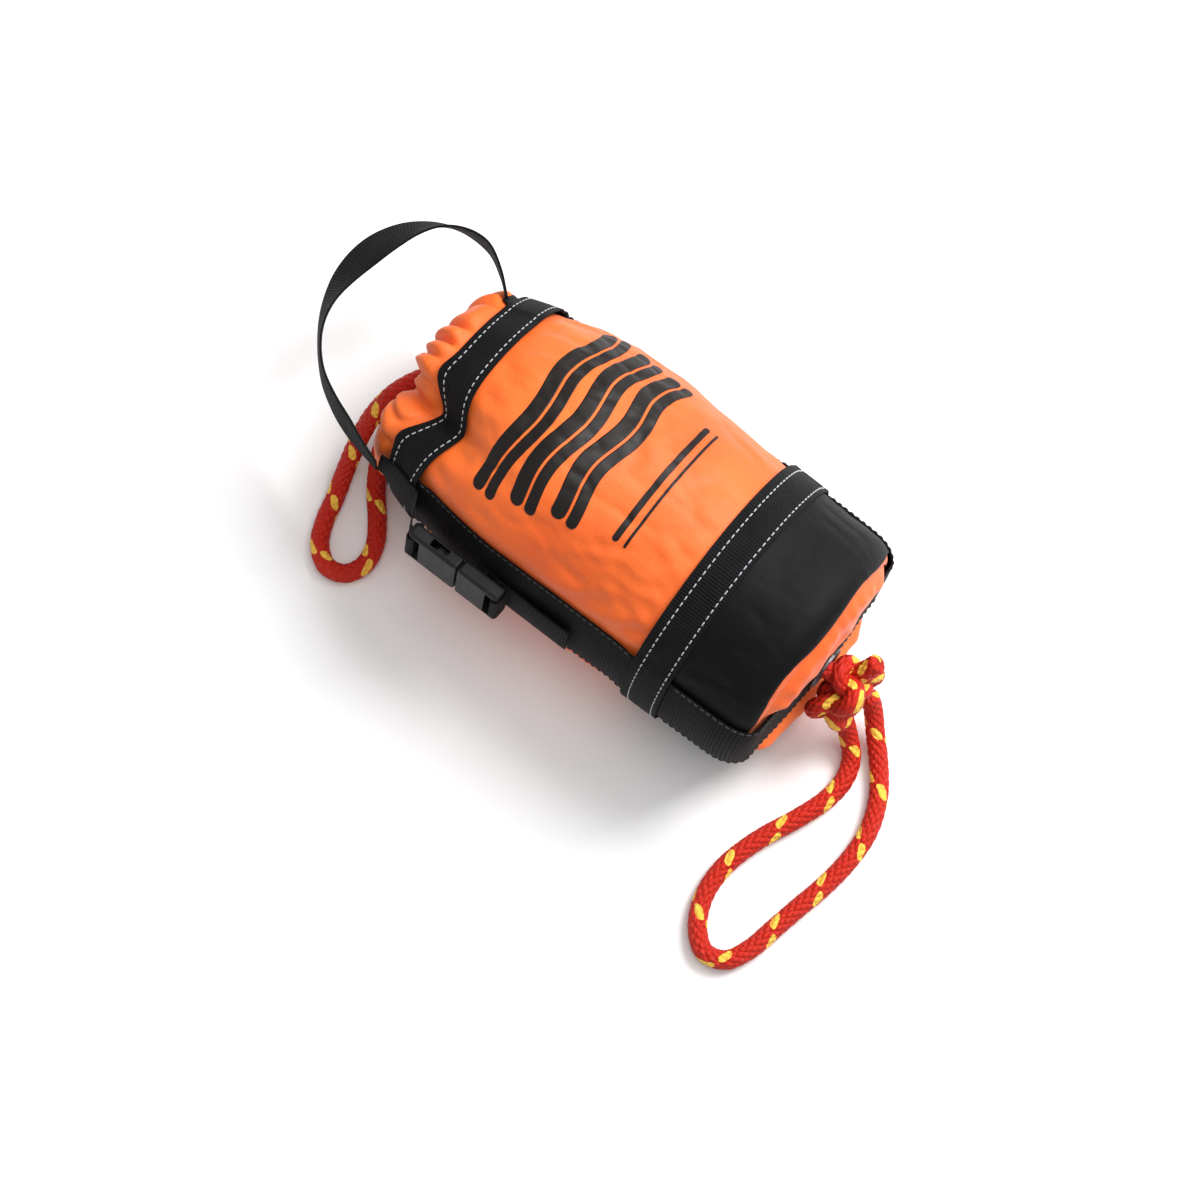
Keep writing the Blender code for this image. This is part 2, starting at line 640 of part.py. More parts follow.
def make_carry_strap(parts):
    centre = smooth_route([point[:3] for point in placed(CARRY_ROUTE, MOUTH_X)], 7 * MM)
    leans = smooth_route([(point[3], 0, 20 * k) for k, point in enumerate(CARRY_ROUTE)], 2 * MM)
    rows = []
    for k, point in enumerate(centre):
        ahead = centre[min(k + 1, len(centre) - 1)] - centre[max(k - 1, 0)]
        share = k / (len(centre) - 1)
        lean = leans[round(share * (len(leans) - 1))].x / MM
        side = Vector((0, 0, 1)).cross(ahead).normalized()
        upright = ahead.cross(side).normalized()
        across = upright * math.cos(math.radians(lean)) + side * math.sin(math.radians(lean))
        taper = min(1.0, 0.35 + 0.65 * min(share, 1 - share) / 0.06)
        half = across * STRAP_WIDTH / 2 * taper
        rows.append([point - half, point, point + half])
    ribbon("carry_strap", rows, (BLACK, 0.75), parts)


def surface_rows(stations, width):
    """Rows of a ribbon on the bag, from stations of (x, angle, distance from the axis)."""
    rows = []
    for x, angle, radius in stations:
        row = []
        for k in range(-2, 3):
            turn = angle - k * width / 4 / radius
            row.append(Vector((x, radius * math.cos(turn), axis_height(x) + radius * math.sin(turn))))
        rows.append(row)
    return rows


def make_strap_roots(parts):
    far = []
    for k in range(4):
        x = MOUTH_X - 3.5 * MM + 19 * MM * k / 3
        far.append((x, CARRY_FAR_ANGLE, body_radius(x) + GAP + WEBBING / 2 + 0.4 * MM))
    ribbon("strap_root_far", surface_rows(far, STRAP_WIDTH), (BLACK, 0.75), parts)
    near = []
    band_end = MOUTH_X + BAND_WIDTH
    bar = BUCKLE_X - GAP - WEBBING / 2
    rise_start = band_end + 2 * MM
    for k in range(6):
        x = MOUTH_X - 2.5 * MM + (rise_start - MOUTH_X + 2.5 * MM) * k / 5
        near.append((x, CARRY_NEAR_ANGLE, body_radius(x) + BAND_OUT + 1 * MM))
    low = near[-1][2]
    for k in range(1, 5):
        share = k / 4
        near.append((rise_start + (bar - rise_start) * share,
                     CARRY_NEAR_ANGLE + (BUCKLE_ANGLE - CARRY_NEAR_ANGLE) * share,
                     low + (buckle_radius() + BUCKLE_HEIGHT / 2 - low) * share))
    ribbon("strap_riser_near", surface_rows(near, STRAP_WIDTH), (BLACK, 0.75), parts)


def make_plug_tab(parts):
    """Webbing that ties the plug to the side strap; the plug slides over its flat end."""
    start = BUCKLE_X + SOCKET_LENGTH + 12 * MM
    stations = []
    for k in range(6):
        x = start + (TAB_END - start) * k / 5
        stations.append((x, BUCKLE_ANGLE, BELLY_RADIUS + STRAP_OUT + GAP + WEBBING / 2))
    ribbon("plug_tab", surface_rows(stations, STRAP_WIDTH), (BLACK, 0.75), parts)


# ---------------------------------------------------------------- side-release buckle

def buckle_radius():
    """Distance from the bag's axis to the buckle's underside."""
    return BELLY_RADIUS + STRAP_OUT + GAP + WEBBING + GAP


def buckle_frame(parts):
    empty = bpy.data.objects.new("buckle_frame", None)
    parts.objects.link(empty)
    radius = buckle_radius()
    empty.location = (BUCKLE_X, radius * math.cos(BUCKLE_ANGLE),
                      AXIS_HEIGHT + radius * math.sin(BUCKLE_ANGLE))
    empty.rotation_euler = (BUCKLE_ANGLE - math.pi / 2, 0, 0)
    return empty


def make_buckle(parts, cutters):
    frame = buckle_frame(parts)
    half = BUCKLE_WIDTH / 2
    middle = BUCKLE_HEIGHT / 2
    inside = CAVITY_WIDTH / 2
    look = (BLACK, 0.35)

    def webbing_slot(start):
        return box((start, -STRAP_WIDTH / 2 - 0.4 * MM, -1 * MM),
                   (start + SLOT, STRAP_WIDTH / 2 + 0.4 * MM, BUCKLE_HEIGHT + 1 * MM))

    socket = add_mesh("buckle_socket", rounded_box((0, -half, 0), (SOCKET_LENGTH, half, BUCKLE_HEIGHT),
                                                   1.5 * MM), look, parts, frame)
    cavity = box((SOCKET_LENGTH - CAVITY_DEPTH, -inside, middle - CAVITY_HEIGHT / 2),
                 (SOCKET_LENGTH + 1 * MM, inside, middle + CAVITY_HEIGHT / 2))
    window = box((SOCKET_LENGTH - CAVITY_DEPTH + 1.5 * MM, -half - 1 * MM, middle - 1.9 * MM),
                 (SOCKET_LENGTH - 7 * MM, half + 1 * MM, middle + 1.9 * MM))
    for cutter in (webbing_slot(BAR), cavity, window):
        boolean(socket, add_cutter(cutter, cutters, frame))

    base = SOCKET_LENGTH + GAP
    end = base + PLUG_LENGTH
    plug = add_mesh("buckle_plug", rounded_box((base, -half, 0), (end, half, BUCKLE_HEIGHT), 1.5 * MM),
                    look, parts, frame)
    prong = box((SOCKET_LENGTH - CAVITY_DEPTH + 1 * MM, -PRONG_WIDTH / 2, middle - ARM_HEIGHT / 2),
                (base + 3 * MM, PRONG_WIDTH / 2, middle + ARM_HEIGHT / 2))
    boolean(plug, add_cutter(prong, cutters, frame), "UNION")
    boolean(plug, add_cutter(webbing_slot(end - BAR - SLOT), cutters, frame))

    for name, side in (("buckle_arm_upper", 1), ("buckle_arm_lower", -1)):
        make_buckle_arm(name, side, base - RUNNING_GAP, middle, look, parts, frame)


def make_buckle_arm(name, side, root, middle, look, parts, frame):
    """A spring arm with its barb, its origin on the hinge at its root."""
    outer = CAVITY_WIDTH / 2 - RUNNING_GAP
    pivot = outer - 0.6 * MM - ARM_WIDTH / 2
    half = ARM_WIDTH / 2
    barb = half + 0.6 * MM
    outline = [(0, -half), (0, half), (-ARM_LENGTH + 6 * MM, half), (-ARM_LENGTH + 5.5 * MM, barb),
               (-ARM_LENGTH + 2.5 * MM, barb), (-ARM_LENGTH, half - 1.4 * MM), (-ARM_LENGTH, -half)]
    bm = bmesh.new()
    face = bm.faces.new([bm.verts.new((x, side * y, -ARM_HEIGHT / 2)) for x, y in outline])
    raised = bmesh.ops.extrude_face_region(bm, geom=[face])["geom"]
    lifted = [item for item in raised if isinstance(item, bmesh.types.BMVert)]
    bmesh.ops.translate(bm, vec=(0, 0, ARM_HEIGHT), verts=lifted)
    arm = add_mesh(name, bm, look, parts, frame)
    arm.location = (root, side * pivot, middle)


# ---------------------------------------------------------------- build

def main():
    clear_scene()
    parts = make_collection(OBJECT_NAME)
    cutters = make_collection("cutters")
    make_bag_body(parts)
    make_mouth_hem(parts)
    make_band("mouth_band", MOUTH_X, BAND_WIDTH, parts)
    make_base_sleeve(parts)
    make_band("base_tape", SLEEVE_X, TAPE_WIDTH, parts)
    make_base_disc(parts)
    make_side_strap(parts, cutters)
    make_grommet(parts)
    make_foam(parts)
    make_rope_pack(parts)
    make_rope(parts)
    make_drawcord(parts)
    make_cord_lock(parts, cutters)
    make_carry_strap(parts)
    make_strap_roots(parts)
    make_plug_tab(parts)
    make_buckle(parts, cutters)


main()
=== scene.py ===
"""Looks of the throw rope bag: fabric, webbing, stitches, rope and hardware."""

import math

import bmesh
import bpy
import numpy as np
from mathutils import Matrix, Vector, noise


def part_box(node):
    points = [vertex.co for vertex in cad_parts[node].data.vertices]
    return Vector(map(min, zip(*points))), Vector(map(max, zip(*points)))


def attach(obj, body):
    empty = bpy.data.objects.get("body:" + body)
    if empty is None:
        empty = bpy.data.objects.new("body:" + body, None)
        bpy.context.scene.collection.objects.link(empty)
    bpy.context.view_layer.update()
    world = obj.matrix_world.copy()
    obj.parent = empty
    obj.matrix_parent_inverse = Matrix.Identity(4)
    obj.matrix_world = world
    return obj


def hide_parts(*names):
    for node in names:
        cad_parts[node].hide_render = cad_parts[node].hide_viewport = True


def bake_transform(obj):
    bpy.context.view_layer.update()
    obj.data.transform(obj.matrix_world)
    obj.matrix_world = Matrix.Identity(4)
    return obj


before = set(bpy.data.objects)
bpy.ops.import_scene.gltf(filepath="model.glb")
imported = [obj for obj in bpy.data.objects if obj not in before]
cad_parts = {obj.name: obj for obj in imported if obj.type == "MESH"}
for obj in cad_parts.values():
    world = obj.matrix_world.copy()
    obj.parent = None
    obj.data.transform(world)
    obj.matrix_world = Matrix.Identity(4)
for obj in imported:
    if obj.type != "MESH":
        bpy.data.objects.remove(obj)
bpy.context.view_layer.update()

MM = 0.001


def low(node):
    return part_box(node)[0]


def high(node):
    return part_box(node)[1]


# Layers, from the frame
FABRIC = 0.8 * MM
WEBBING = 1.2 * MM
GAP = 0.45 * MM
STRAP_IN = FABRIC + 3 * GAP
STRAP_OUT = STRAP_IN + WEBBING
BAND_IN = STRAP_OUT + GAP
BAND_OUT = BAND_IN + WEBBING

MOUTH_X = -105.5 * MM
BASE_X = 105.5 * MM
BAND_WIDTH = 19.2 * MM
TAPE_WIDTH = 20 * MM
SLEEVE_X = low("base_sleeve").x
BELLY_RADIUS = high("bag_body").y - 0.1 * MM
NECK_RADIUS = 50.0 * MM
BASE_RADIUS = 61.0 * MM
SHOULDER_LENGTH = 70 * MM
RIM_DEPTH = 12 * MM
RIM_DROP = 6.5 * MM
BASE_DOME = 3.5 * MM
AXIS_HEIGHT = (low("float_foam").z + high("float_foam").z) / 2
MOUTH_SAG = 4 * MM
GATHER_DEPTH = 13.8 * MM
THROAT_RADIUS = 21.5 * MM
SIDE_STRAP_WIDTH = 44 * MM
SIDE_STRAP_TILT = math.radians(-10)
STRAP_WIDTH = 20 * MM
ROPE = 9.5 * MM
DRAWCORD = 3 * MM


# ---------------------------------------------------------------- camera

CAMERA_TARGET = Vector((10.2, -38.9, 57)) * MM
CAMERA_AZIMUTH = math.radians(38)
CAMERA_ELEVATION = math.radians(77)
CAMERA_DISTANCE = 1.395
CAMERA_LENS = 90


def make_camera():
    data = bpy.data.cameras.new("camera")
    data.lens = CAMERA_LENS
    data.sensor_width = 36
    camera = bpy.data.objects.new("camera", data)
    bpy.context.scene.collection.objects.link(camera)
    away = Vector((math.sin(CAMERA_AZIMUTH) * math.cos(CAMERA_ELEVATION),
                   -math.cos(CAMERA_AZIMUTH) * math.cos(CAMERA_ELEVATION),
                   math.sin(CAMERA_ELEVATION)))
    camera.location = CAMERA_TARGET + away * CAMERA_DISTANCE
    camera.rotation_euler = away.to_track_quat("Z", "Y").to_euler()
    bpy.context.scene.camera = camera


# ---------------------------------------------------------------- materials

def grey(value, blue=0.0):
    """A grey, a little bluer by that much."""
    return value, value, value + blue


class Nodes:
    """A short way to build a material's node tree."""

    def __init__(self, name, colour, roughness, metallic=0.0):
        self.material = bpy.data.materials.new(name)
        self.material.use_nodes = True
        self.tree = self.material.node_tree
        self.shader = self.tree.nodes["Principled BSDF"]
        self.set("Base Color", (*colour, 1))
        self.set("Roughness", roughness)
        self.set("Metallic", metallic)

    def add(self, kind, **inputs):
        node = self.tree.nodes.new(kind)
        for key, value in inputs.items():
            setattr(node, key, value)
        return node

    def link(self, source, target):
        self.tree.links.new(source, target)

    def set(self, socket, value):
        self.shader.inputs[socket].default_value = value

    def math(self, operation, a, b=0.0):
        node = self.add("ShaderNodeMath", operation=operation)
        for socket, value in zip(node.inputs, (a, b)):
            if isinstance(value, (int, float)):
                socket.default_value = value
            else:
                self.link(value, socket)
        return node.outputs[0]

    def plus(self, a, b):
        return self.math("ADD", a, b)

    def minus(self, a, b):
        return self.math("SUBTRACT", a, b)

    def times(self, a, b):
        return self.math("MULTIPLY", a, b)

    def sine(self, value, pitch):
        """A 0..1 wave of that pitch in metres."""
        turned = self.math("SINE", self.times(value, math.tau / pitch))
        return self.plus(self.times(turned, 0.5), 0.5)

    def centred(self, value):
        """The value's fraction, less a half: where it is within its own repeat."""
        return self.minus(self.math("FRACT", value), 0.5)

    def coords(self, kind="UV"):
        return self.add("ShaderNodeTexCoord").outputs[kind]

    def split(self, vector):
        node = self.add("ShaderNodeSeparateXYZ")
        self.link(vector, node.inputs[0])
        return node.outputs

    def noise(self, vector, scale, detail=3.0, roughness=0.5):
        node = self.add("ShaderNodeTexNoise")
        node.inputs["Scale"].default_value = scale
        node.inputs["Detail"].default_value = detail
        node.inputs["Roughness"].default_value = roughness
        self.link(vector, node.inputs["Vector"])
        return node.outputs["Fac"]

    def ramp(self, factor, stops):
        node = self.add("ShaderNodeValToRGB")
        elements = node.color_ramp.elements
        while len(elements) < len(stops):
            elements.new(0.5)
        for element, (position, colour) in zip(elements, stops):
            element.position = position
            element.color = (*colour, 1)
        self.link(factor, node.inputs["Fac"])
        return node.outputs["Color"]

    def colour(self, source):
        self.link(source, self.shader.inputs["Base Color"])

    def roughness(self, factor, lowest, highest):
        node = self.add("ShaderNodeMapRange")
        node.inputs["To Min"].default_value = lowest
        node.inputs["To Max"].default_value = highest
        self.link(factor, node.inputs["Value"])
        self.link(node.outputs["Result"], self.shader.inputs["Roughness"])

    def bump(self, height, distance, strength=1.0, before=None):
        node = self.add("ShaderNodeBump")
        node.inputs["Distance"].default_value = distance
        node.inputs["Strength"].default_value = strength
        self.link(height, node.inputs["Height"])
        if before is not None:
            self.link(before, node.inputs["Normal"])
        self.link(node.outputs["Normal"], self.shader.inputs["Normal"])
        return node.outputs["Normal"]


WEAVE = 0.9 * MM              # pitch of the nylon's yarns
RIB = 1.5 * MM                # pitch of the webbing's ribs
HERRINGBONE = 1.1 * MM


def woven(name, colours, roughness, sheen, specular):
    """Plain-weave coated nylon: a fine over-and-under weave with slow changes of tone."""
    nodes = Nodes(name, colours[0], roughness)
    uv, position = nodes.coords(), nodes.coords("Object")
    x, y, _ = nodes.split(uv)
    warp, weft = nodes.sine(x, WEAVE), nodes.sine(y, WEAVE)
    height = nodes.plus(nodes.times(warp, weft),
                        nodes.times(nodes.minus(1, warp), nodes.minus(1, weft)))
    tone = nodes.noise(position, 14, 4)
    factor = nodes.plus(nodes.times(tone, 0.75), nodes.times(nodes.noise(uv, 900, 2), 0.25))
    nodes.colour(nodes.ramp(factor, list(zip((0.3, 0.5, 0.72), colours))))
    nodes.roughness(tone, roughness - 0.08, roughness + 0.1)
    first = nodes.bump(height, 0.00012, 0.6)
    nodes.bump(nodes.noise(position, 160, 3), 0.0006, 0.25, before=first)
    nodes.set("Sheen Weight", sheen)
    nodes.set("Sheen Roughness", 0.4)
    nodes.set("Specular IOR Level", specular)
    return nodes.material


def webbing_material(name):
    """Black ribbed webbing: ribs across, and a herringbone over them."""
    nodes = Nodes(name, grey(0.005, 0.001), 0.7)
    x, y, _ = nodes.split(nodes.coords())
    rib = nodes.sine(x, RIB)
    yarn = nodes.sine(nodes.plus(y, nodes.times(rib, 0.5 * MM)), HERRINGBONE)
    tone = nodes.noise(nodes.coords("Object"), 60, 3)
    nodes.colour(nodes.ramp(tone, [(0.3, grey(0.002, 0.0005)), (0.7, grey(0.007, 0.0015))]))
    nodes.roughness(rib, 0.6, 0.8)
    nodes.bump(nodes.plus(rib, nodes.times(yarn, 0.6)), 0.00035, 0.8)
    nodes.set("Specular IOR Level", 0.15)
    return nodes.material


def thread_material(name, colour):
    nodes = Nodes(name, colour, 0.55)
    nodes.bump(nodes.noise(nodes.coords("Object"), 2500, 1), 0.0001, 0.5)
    nodes.set("Sheen Weight", 0.2)
    return nodes.material


def ink_material():
    nodes = Nodes("print_ink", (0.008, 0.007, 0.007), 0.5)
    wear = nodes.noise(nodes.coords("Object"), 700, 4, 0.7)
    nodes.colour(nodes.ramp(wear, [(0.3, (0.004, 0.0035, 0.0035)), (0.85, (0.016, 0.008, 0.006))]))
    nodes.set("Specular IOR Level", 0.3)
    nodes.bump(nodes.noise(nodes.coords(), 2200, 2), 0.0001, 0.5)
    return nodes.material


ROPE_PITCH = 30 * MM          # along the rope, for one turn of the yarn carriers
CARRIERS = 8                  # yarn bundles each way round the braid
CELL_LENGTH = 1.35            # of a braid cell, against its width
FLECK_WIDTH = 0.078           # half of it, in turns round the rope
FLECK_LENGTH = 0.125          # half of it, in turns of the carriers
YELLOW = (0.95, 0.56, 0.07)
REDS = ((0.30, 0.006, 0.003), (0.56, 0.015, 0.004), (0.72, 0.035, 0.008))


def rope_material():
    """Braided rope: red yarns with yellow tracers that turn round it."""
    nodes = Nodes("rope_red", (0.4, 0.02, 0.01), 0.6)
    uv = nodes.coords()
    along, around, _ = nodes.split(uv)
    turn = nodes.math("DIVIDE", along, ROPE_PITCH)

    def fleck(place, phase):
        """A short dash of tracer yarn, one turn-share round the rope and a phase along it."""
        step = nodes.centred(nodes.plus(turn, phase))
        drift = nodes.plus(nodes.times(along, 1.4), nodes.times(step, 0.45))
        gap = nodes.centred(nodes.plus(nodes.plus(around, drift), 0.5 - place))
        across = nodes.times(nodes.math("ABSOLUTE", gap), 1 / FLECK_WIDTH)
        length = nodes.times(nodes.math("ABSOLUTE", step), 1 / FLECK_LENGTH)
        reach = nodes.plus(nodes.math("POWER", across, 3.0), nodes.math("POWER", length, 3.0))
        rough_edge = nodes.plus(reach, nodes.times(nodes.noise(uv, 700, 2), 0.9))
        return nodes.math("LESS_THAN", rough_edge, 1.35)

    flecks = fleck(0.0, 0.0)
    for place, phase in ((0.5, 0.5), (0.25, 0.27), (0.75, 0.77)):
        flecks = nodes.math("MAXIMUM", flecks, fleck(place, phase))
    mix = nodes.add("ShaderNodeMix", data_type="RGBA")
    colours = [socket for socket in mix.inputs if socket.type == "RGBA"]
    nodes.link(flecks, mix.inputs["Factor"])
    nodes.link(nodes.ramp(nodes.noise(uv, 420, 3), list(zip((0.3, 0.5, 0.75), REDS))), colours[0])
    colours[1].default_value = (*YELLOW, 1)
    nodes.colour([socket for socket in mix.outputs if socket.type == "RGBA"][0])
    lean = nodes.math("DIVIDE", along, math.pi * ROPE / CARRIERS * CELL_LENGTH)
    bundles = nodes.times(around, CARRIERS)
    rise, fall = (nodes.math("ABSOLUTE", nodes.math("SINE", nodes.times(turned, math.pi)))
                  for turned in (nodes.plus(bundles, lean), nodes.minus(bundles, lean)))
    first = nodes.bump(nodes.times(rise, fall), 0.0009, 0.75)
    strand = nodes.sine(nodes.plus(nodes.times(around, 0.03), along), 0.7 * MM)
    nodes.bump(strand, 0.0001, 0.5, before=first)
    nodes.set("Specular IOR Level", 0.3)
    return nodes.material


def plastic_material():
    """Moulded acetal: fine grain, lightly worn."""
    nodes = Nodes("acetal_black", grey(0.014, 0.001), 0.38)
    position = nodes.coords("Object")
    tone = nodes.noise(position, 120, 3)
    nodes.colour(nodes.ramp(tone, [(0.35, grey(0.004, 0.001)), (0.7, grey(0.011, 0.001))]))
    nodes.roughness(nodes.noise(position, 300, 4), 0.32, 0.52)
    nodes.set("Specular IOR Level", 0.18)
    nodes.bump(nodes.noise(position, 2600, 2), 0.00006, 0.4)
    return nodes.material


def metal_material():
    nodes = Nodes("grommet_metal", grey(0.16, 0.01), 0.35, 1.0)
    nodes.roughness(nodes.noise(nodes.coords("Object"), 500, 4), 0.22, 0.45)
    return nodes.material


def foam_material():
    nodes = Nodes("foam_white", (0.82, 0.82, 0.79), 0.9)
    nodes.bump(nodes.noise(nodes.coords("Object"), 1200, 2), 0.0003, 0.6)
    return nodes.material


ORANGES = ((0.78, 0.10, 0.014), (0.90, 0.150, 0.020), (0.97, 0.20, 0.032))
BLACKS = (grey(0.0012, 0.0003), grey(0.0025, 0.0005), grey(0.005, 0.001))


# ---------------------------------------------------------------- mesh helpers


def add_object(name, data):
    obj = bpy.data.objects.new(name, data)
    bpy.context.scene.collection.objects.link(obj)
    return obj


def add_piece(name, shell, material, body="bag", replaces=()):
    """A mesh piece from a shell: verts, faces and uvs per vertex, in metres."""
    verts, faces, uvs = shell
    mesh = bpy.data.meshes.new(name)
    mesh.from_pydata([tuple(v) for v in verts], [], faces)
    mesh.update()
    layer = mesh.uv_layers.new(name="UVMap")
    index = np.empty(len(mesh.loops), dtype=np.int32)
    mesh.loops.foreach_get("vertex_index", index)
    layer.data.foreach_set("uv", np.asarray(uvs, dtype=np.float32)[index].ravel())
    bm = bmesh.new()
    bm.from_mesh(mesh)
    bmesh.ops.recalc_face_normals(bm, faces=bm.faces)
    bm.to_mesh(mesh)
    bm.free()
    mesh.shade_smooth()
    mesh.materials.append(material)
    obj = add_object(name, mesh)
    if body:
        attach(obj, body)
    if replaces:
        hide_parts(*replaces)
    slot = material.name.split(".")[0]
    return obj


class Batch:
    """Gathers many small meshes into one piece."""

    def __init__(self):
        self.verts, self.faces, self.uvs = [], [], []

    def add(self, verts, faces, uvs):
        start = sum(len(part) for part in self.verts)
        self.verts.append(np.asarray(verts, dtype=float))
        self.uvs.append(np.asarray(uvs, dtype=float))
        self.faces += [tuple(start + i for i in face) for face in faces]

    def piece(self, name, material, **options):
        shell = np.concatenate(self.verts), self.faces, np.concatenate(self.uvs)
        return add_piece(name, shell, material, **options)


def grid_faces(rows, columns, wrap=False, start=0, flip=False):
    faces = []
    last = columns if wrap else columns - 1
    for i in range(rows - 1):
        for j in range(last):
            k = (j + 1) % columns
            face = (start + i * columns + j, start + i * columns + k,
                    start + (i + 1) * columns + k, start + (i + 1) * columns + j)
            faces.append(face[::-1] if flip else face)
    return faces


def slab(outer, inner, uv, wrap=False):
    """A closed shell between two grids of points, each of shape (rows, columns, 3)."""
    rows, columns = outer.shape[:2]
    count = rows * columns
    faces = grid_faces(rows, columns, wrap) + grid_faces(rows, columns, wrap, count, True)
    last = columns if wrap else columns - 1
    for j in range(last):
        k = (j + 1) % columns
        faces.append((k, j, count + j, count + k))
        end = (rows - 1) * columns
        faces.append((end + j, end + k, count + end + k, count + end + j))
    if not wrap:
        for i in range(rows - 1):
            a, b = i * columns, (i + 1) * columns
            faces.append((a, b, count + b, count + a))
            a, b = a + columns - 1, b + columns - 1
            faces.append((b, a, count + a, count + b))
    verts = np.concatenate([outer.reshape(-1, 3), inner.reshape(-1, 3)])
    flat = uv.reshape(-1, 2)
    return verts, faces, np.concatenate([flat, flat])


def route(points, step):
    """Points about one step apart on a centripetal Catmull-Rom curve, in metres."""
    p = np.asarray(points, dtype=float)
    p = np.concatenate([[2 * p[0] - p[1]], p, [2 * p[-1] - p[-2]]])
    fine = []
    for p0, p1, p2, p3 in zip(p, p[1:], p[2:], p[3:]):
        t0 = 0.0
        t1 = t0 + math.sqrt(np.linalg.norm(p1 - p0))
        t2 = t1 + math.sqrt(np.linalg.norm(p2 - p1))
        t3 = t2 + math.sqrt(np.linalg.norm(p3 - p2))
        for t in np.linspace(t1, t2, 16, endpoint=False):
            a1 = p0 * (t1 - t) / (t1 - t0) + p1 * (t - t0) / (t1 - t0)
            a2 = p1 * (t2 - t) / (t2 - t1) + p2 * (t - t1) / (t2 - t1)
            a3 = p2 * (t3 - t) / (t3 - t2) + p3 * (t - t2) / (t3 - t2)
            b1 = a1 * (t2 - t) / (t2 - t0) + a2 * (t - t0) / (t2 - t0)
            b2 = a2 * (t3 - t) / (t3 - t1) + a3 * (t - t1) / (t3 - t1)
            fine.append(b1 * (t2 - t) / (t2 - t1) + b2 * (t - t1) / (t2 - t1))
    fine.append(p[-2])
    return resample(np.array(fine), step)


def joined(*parts):
    """Coordinates side by side in the last axis, where a single number holds for every point."""
    return np.stack(np.broadcast_arrays(*parts), axis=-1)


def spread(rows, columns):
    """Both values at every place of a grid."""
    return np.meshgrid(rows, columns, indexing="ij")


def interpolate(where, places, values):
    return np.stack([np.interp(where, places, column) for column in values.T], axis=1)


def arc_length(points):
    return np.concatenate([[0], np.cumsum(np.linalg.norm(np.diff(points, axis=0), axis=1))])


def resample(points, step):
    lengths = arc_length(points)
    even = np.linspace(0, lengths[-1], max(3, round(lengths[-1] / step) + 1))
    return interpolate(even, lengths, points)


def unit(vectors):
    return vectors / np.maximum(np.linalg.norm(vectors, axis=-1, keepdims=True), 1e-12)


def frames(points):
    """Tangents and two steady cross directions along a path."""
    tangents = unit(np.gradient(points, axis=0))
    side = np.cross(tangents[0], (0, 0, 1))
    if np.linalg.norm(side) < 0.1:
        side = np.cross(tangents[0], (0, 1, 0))
    sides = []
    for tangent in tangents:
        side = side - tangent * np.dot(side, tangent)
        side = side / np.linalg.norm(side)
        sides.append(side)
    sides = np.array(sides)
    return tangents, sides, np.cross(tangents, sides)


def braid_relief(along, around, radius):
    """Height 0..1 of a two-over, two-under braid: along in metres, around in turns."""
    cell = math.tau * radius / CARRIERS * CELL_LENGTH
    a = around * CARRIERS + along / cell
    b = around * CARRIERS - along / cell
    parity = (np.floor(a) + np.floor(b)) % 2
    across_a = 1 - (2 * (a % 1) - 1) ** 2
    across_b = 1 - (2 * (b % 1) - 1) ** 2
    return np.where(parity < 1, across_a, across_b)


def rope_tube(points, diameter, sides=28, relief=0.06, start=0.0, closed_ends=True):
    """The shell of a braided rope along the points."""
    _, across, up = frames(points)
    along = arc_length(points) + start
    turns = np.arange(sides + 1) / sides
    radius = diameter / 2
    a, t = spread(along, turns)
    height = braid_relief(a, t, radius) if relief else np.zeros_like(a)
    rho = radius * (1 - relief * 2 * (1 - height))
    if closed_ends:
        for k, share in ((0, 0.35), (1, 0.8), (-1, 0.35), (-2, 0.8)):
            rho[k] *= share
    turned = t[..., None] * math.tau
    ring = np.cos(turned) * across[:, None] + np.sin(turned) * up[:, None]
    verts = points[:, None] + ring * rho[..., None]
    rows, columns = rho.shape
    faces = grid_faces(rows, columns)
    flat = verts.reshape(-1, 3)
    uv = joined(a, t).reshape(-1, 2)
    if closed_ends:
        ends = np.array([points[0], points[-1]])
        flat = np.concatenate([flat, ends])
        uv = np.concatenate([uv, [[along[0], 0.5], [along[-1], 0.5]]])
        first, last = rows * columns, rows * columns + 1
        faces += [(first, j + 1, j) for j in range(columns - 1)]
        end = (rows - 1) * columns
        faces += [(last, end + j, end + j + 1) for j in range(columns - 1)]
    return flat, faces, uv


def weld(obj):
    """Joins the rows of points where a rope's uvs start again."""
    bm = bmesh.new()
    bm.from_mesh(obj.data)
    bmesh.ops.remove_doubles(bm, verts=bm.verts, dist=MM / 1000)
    bm.to_mesh(obj.data)
    bm.free()


# ---------------------------------------------------------------- rope

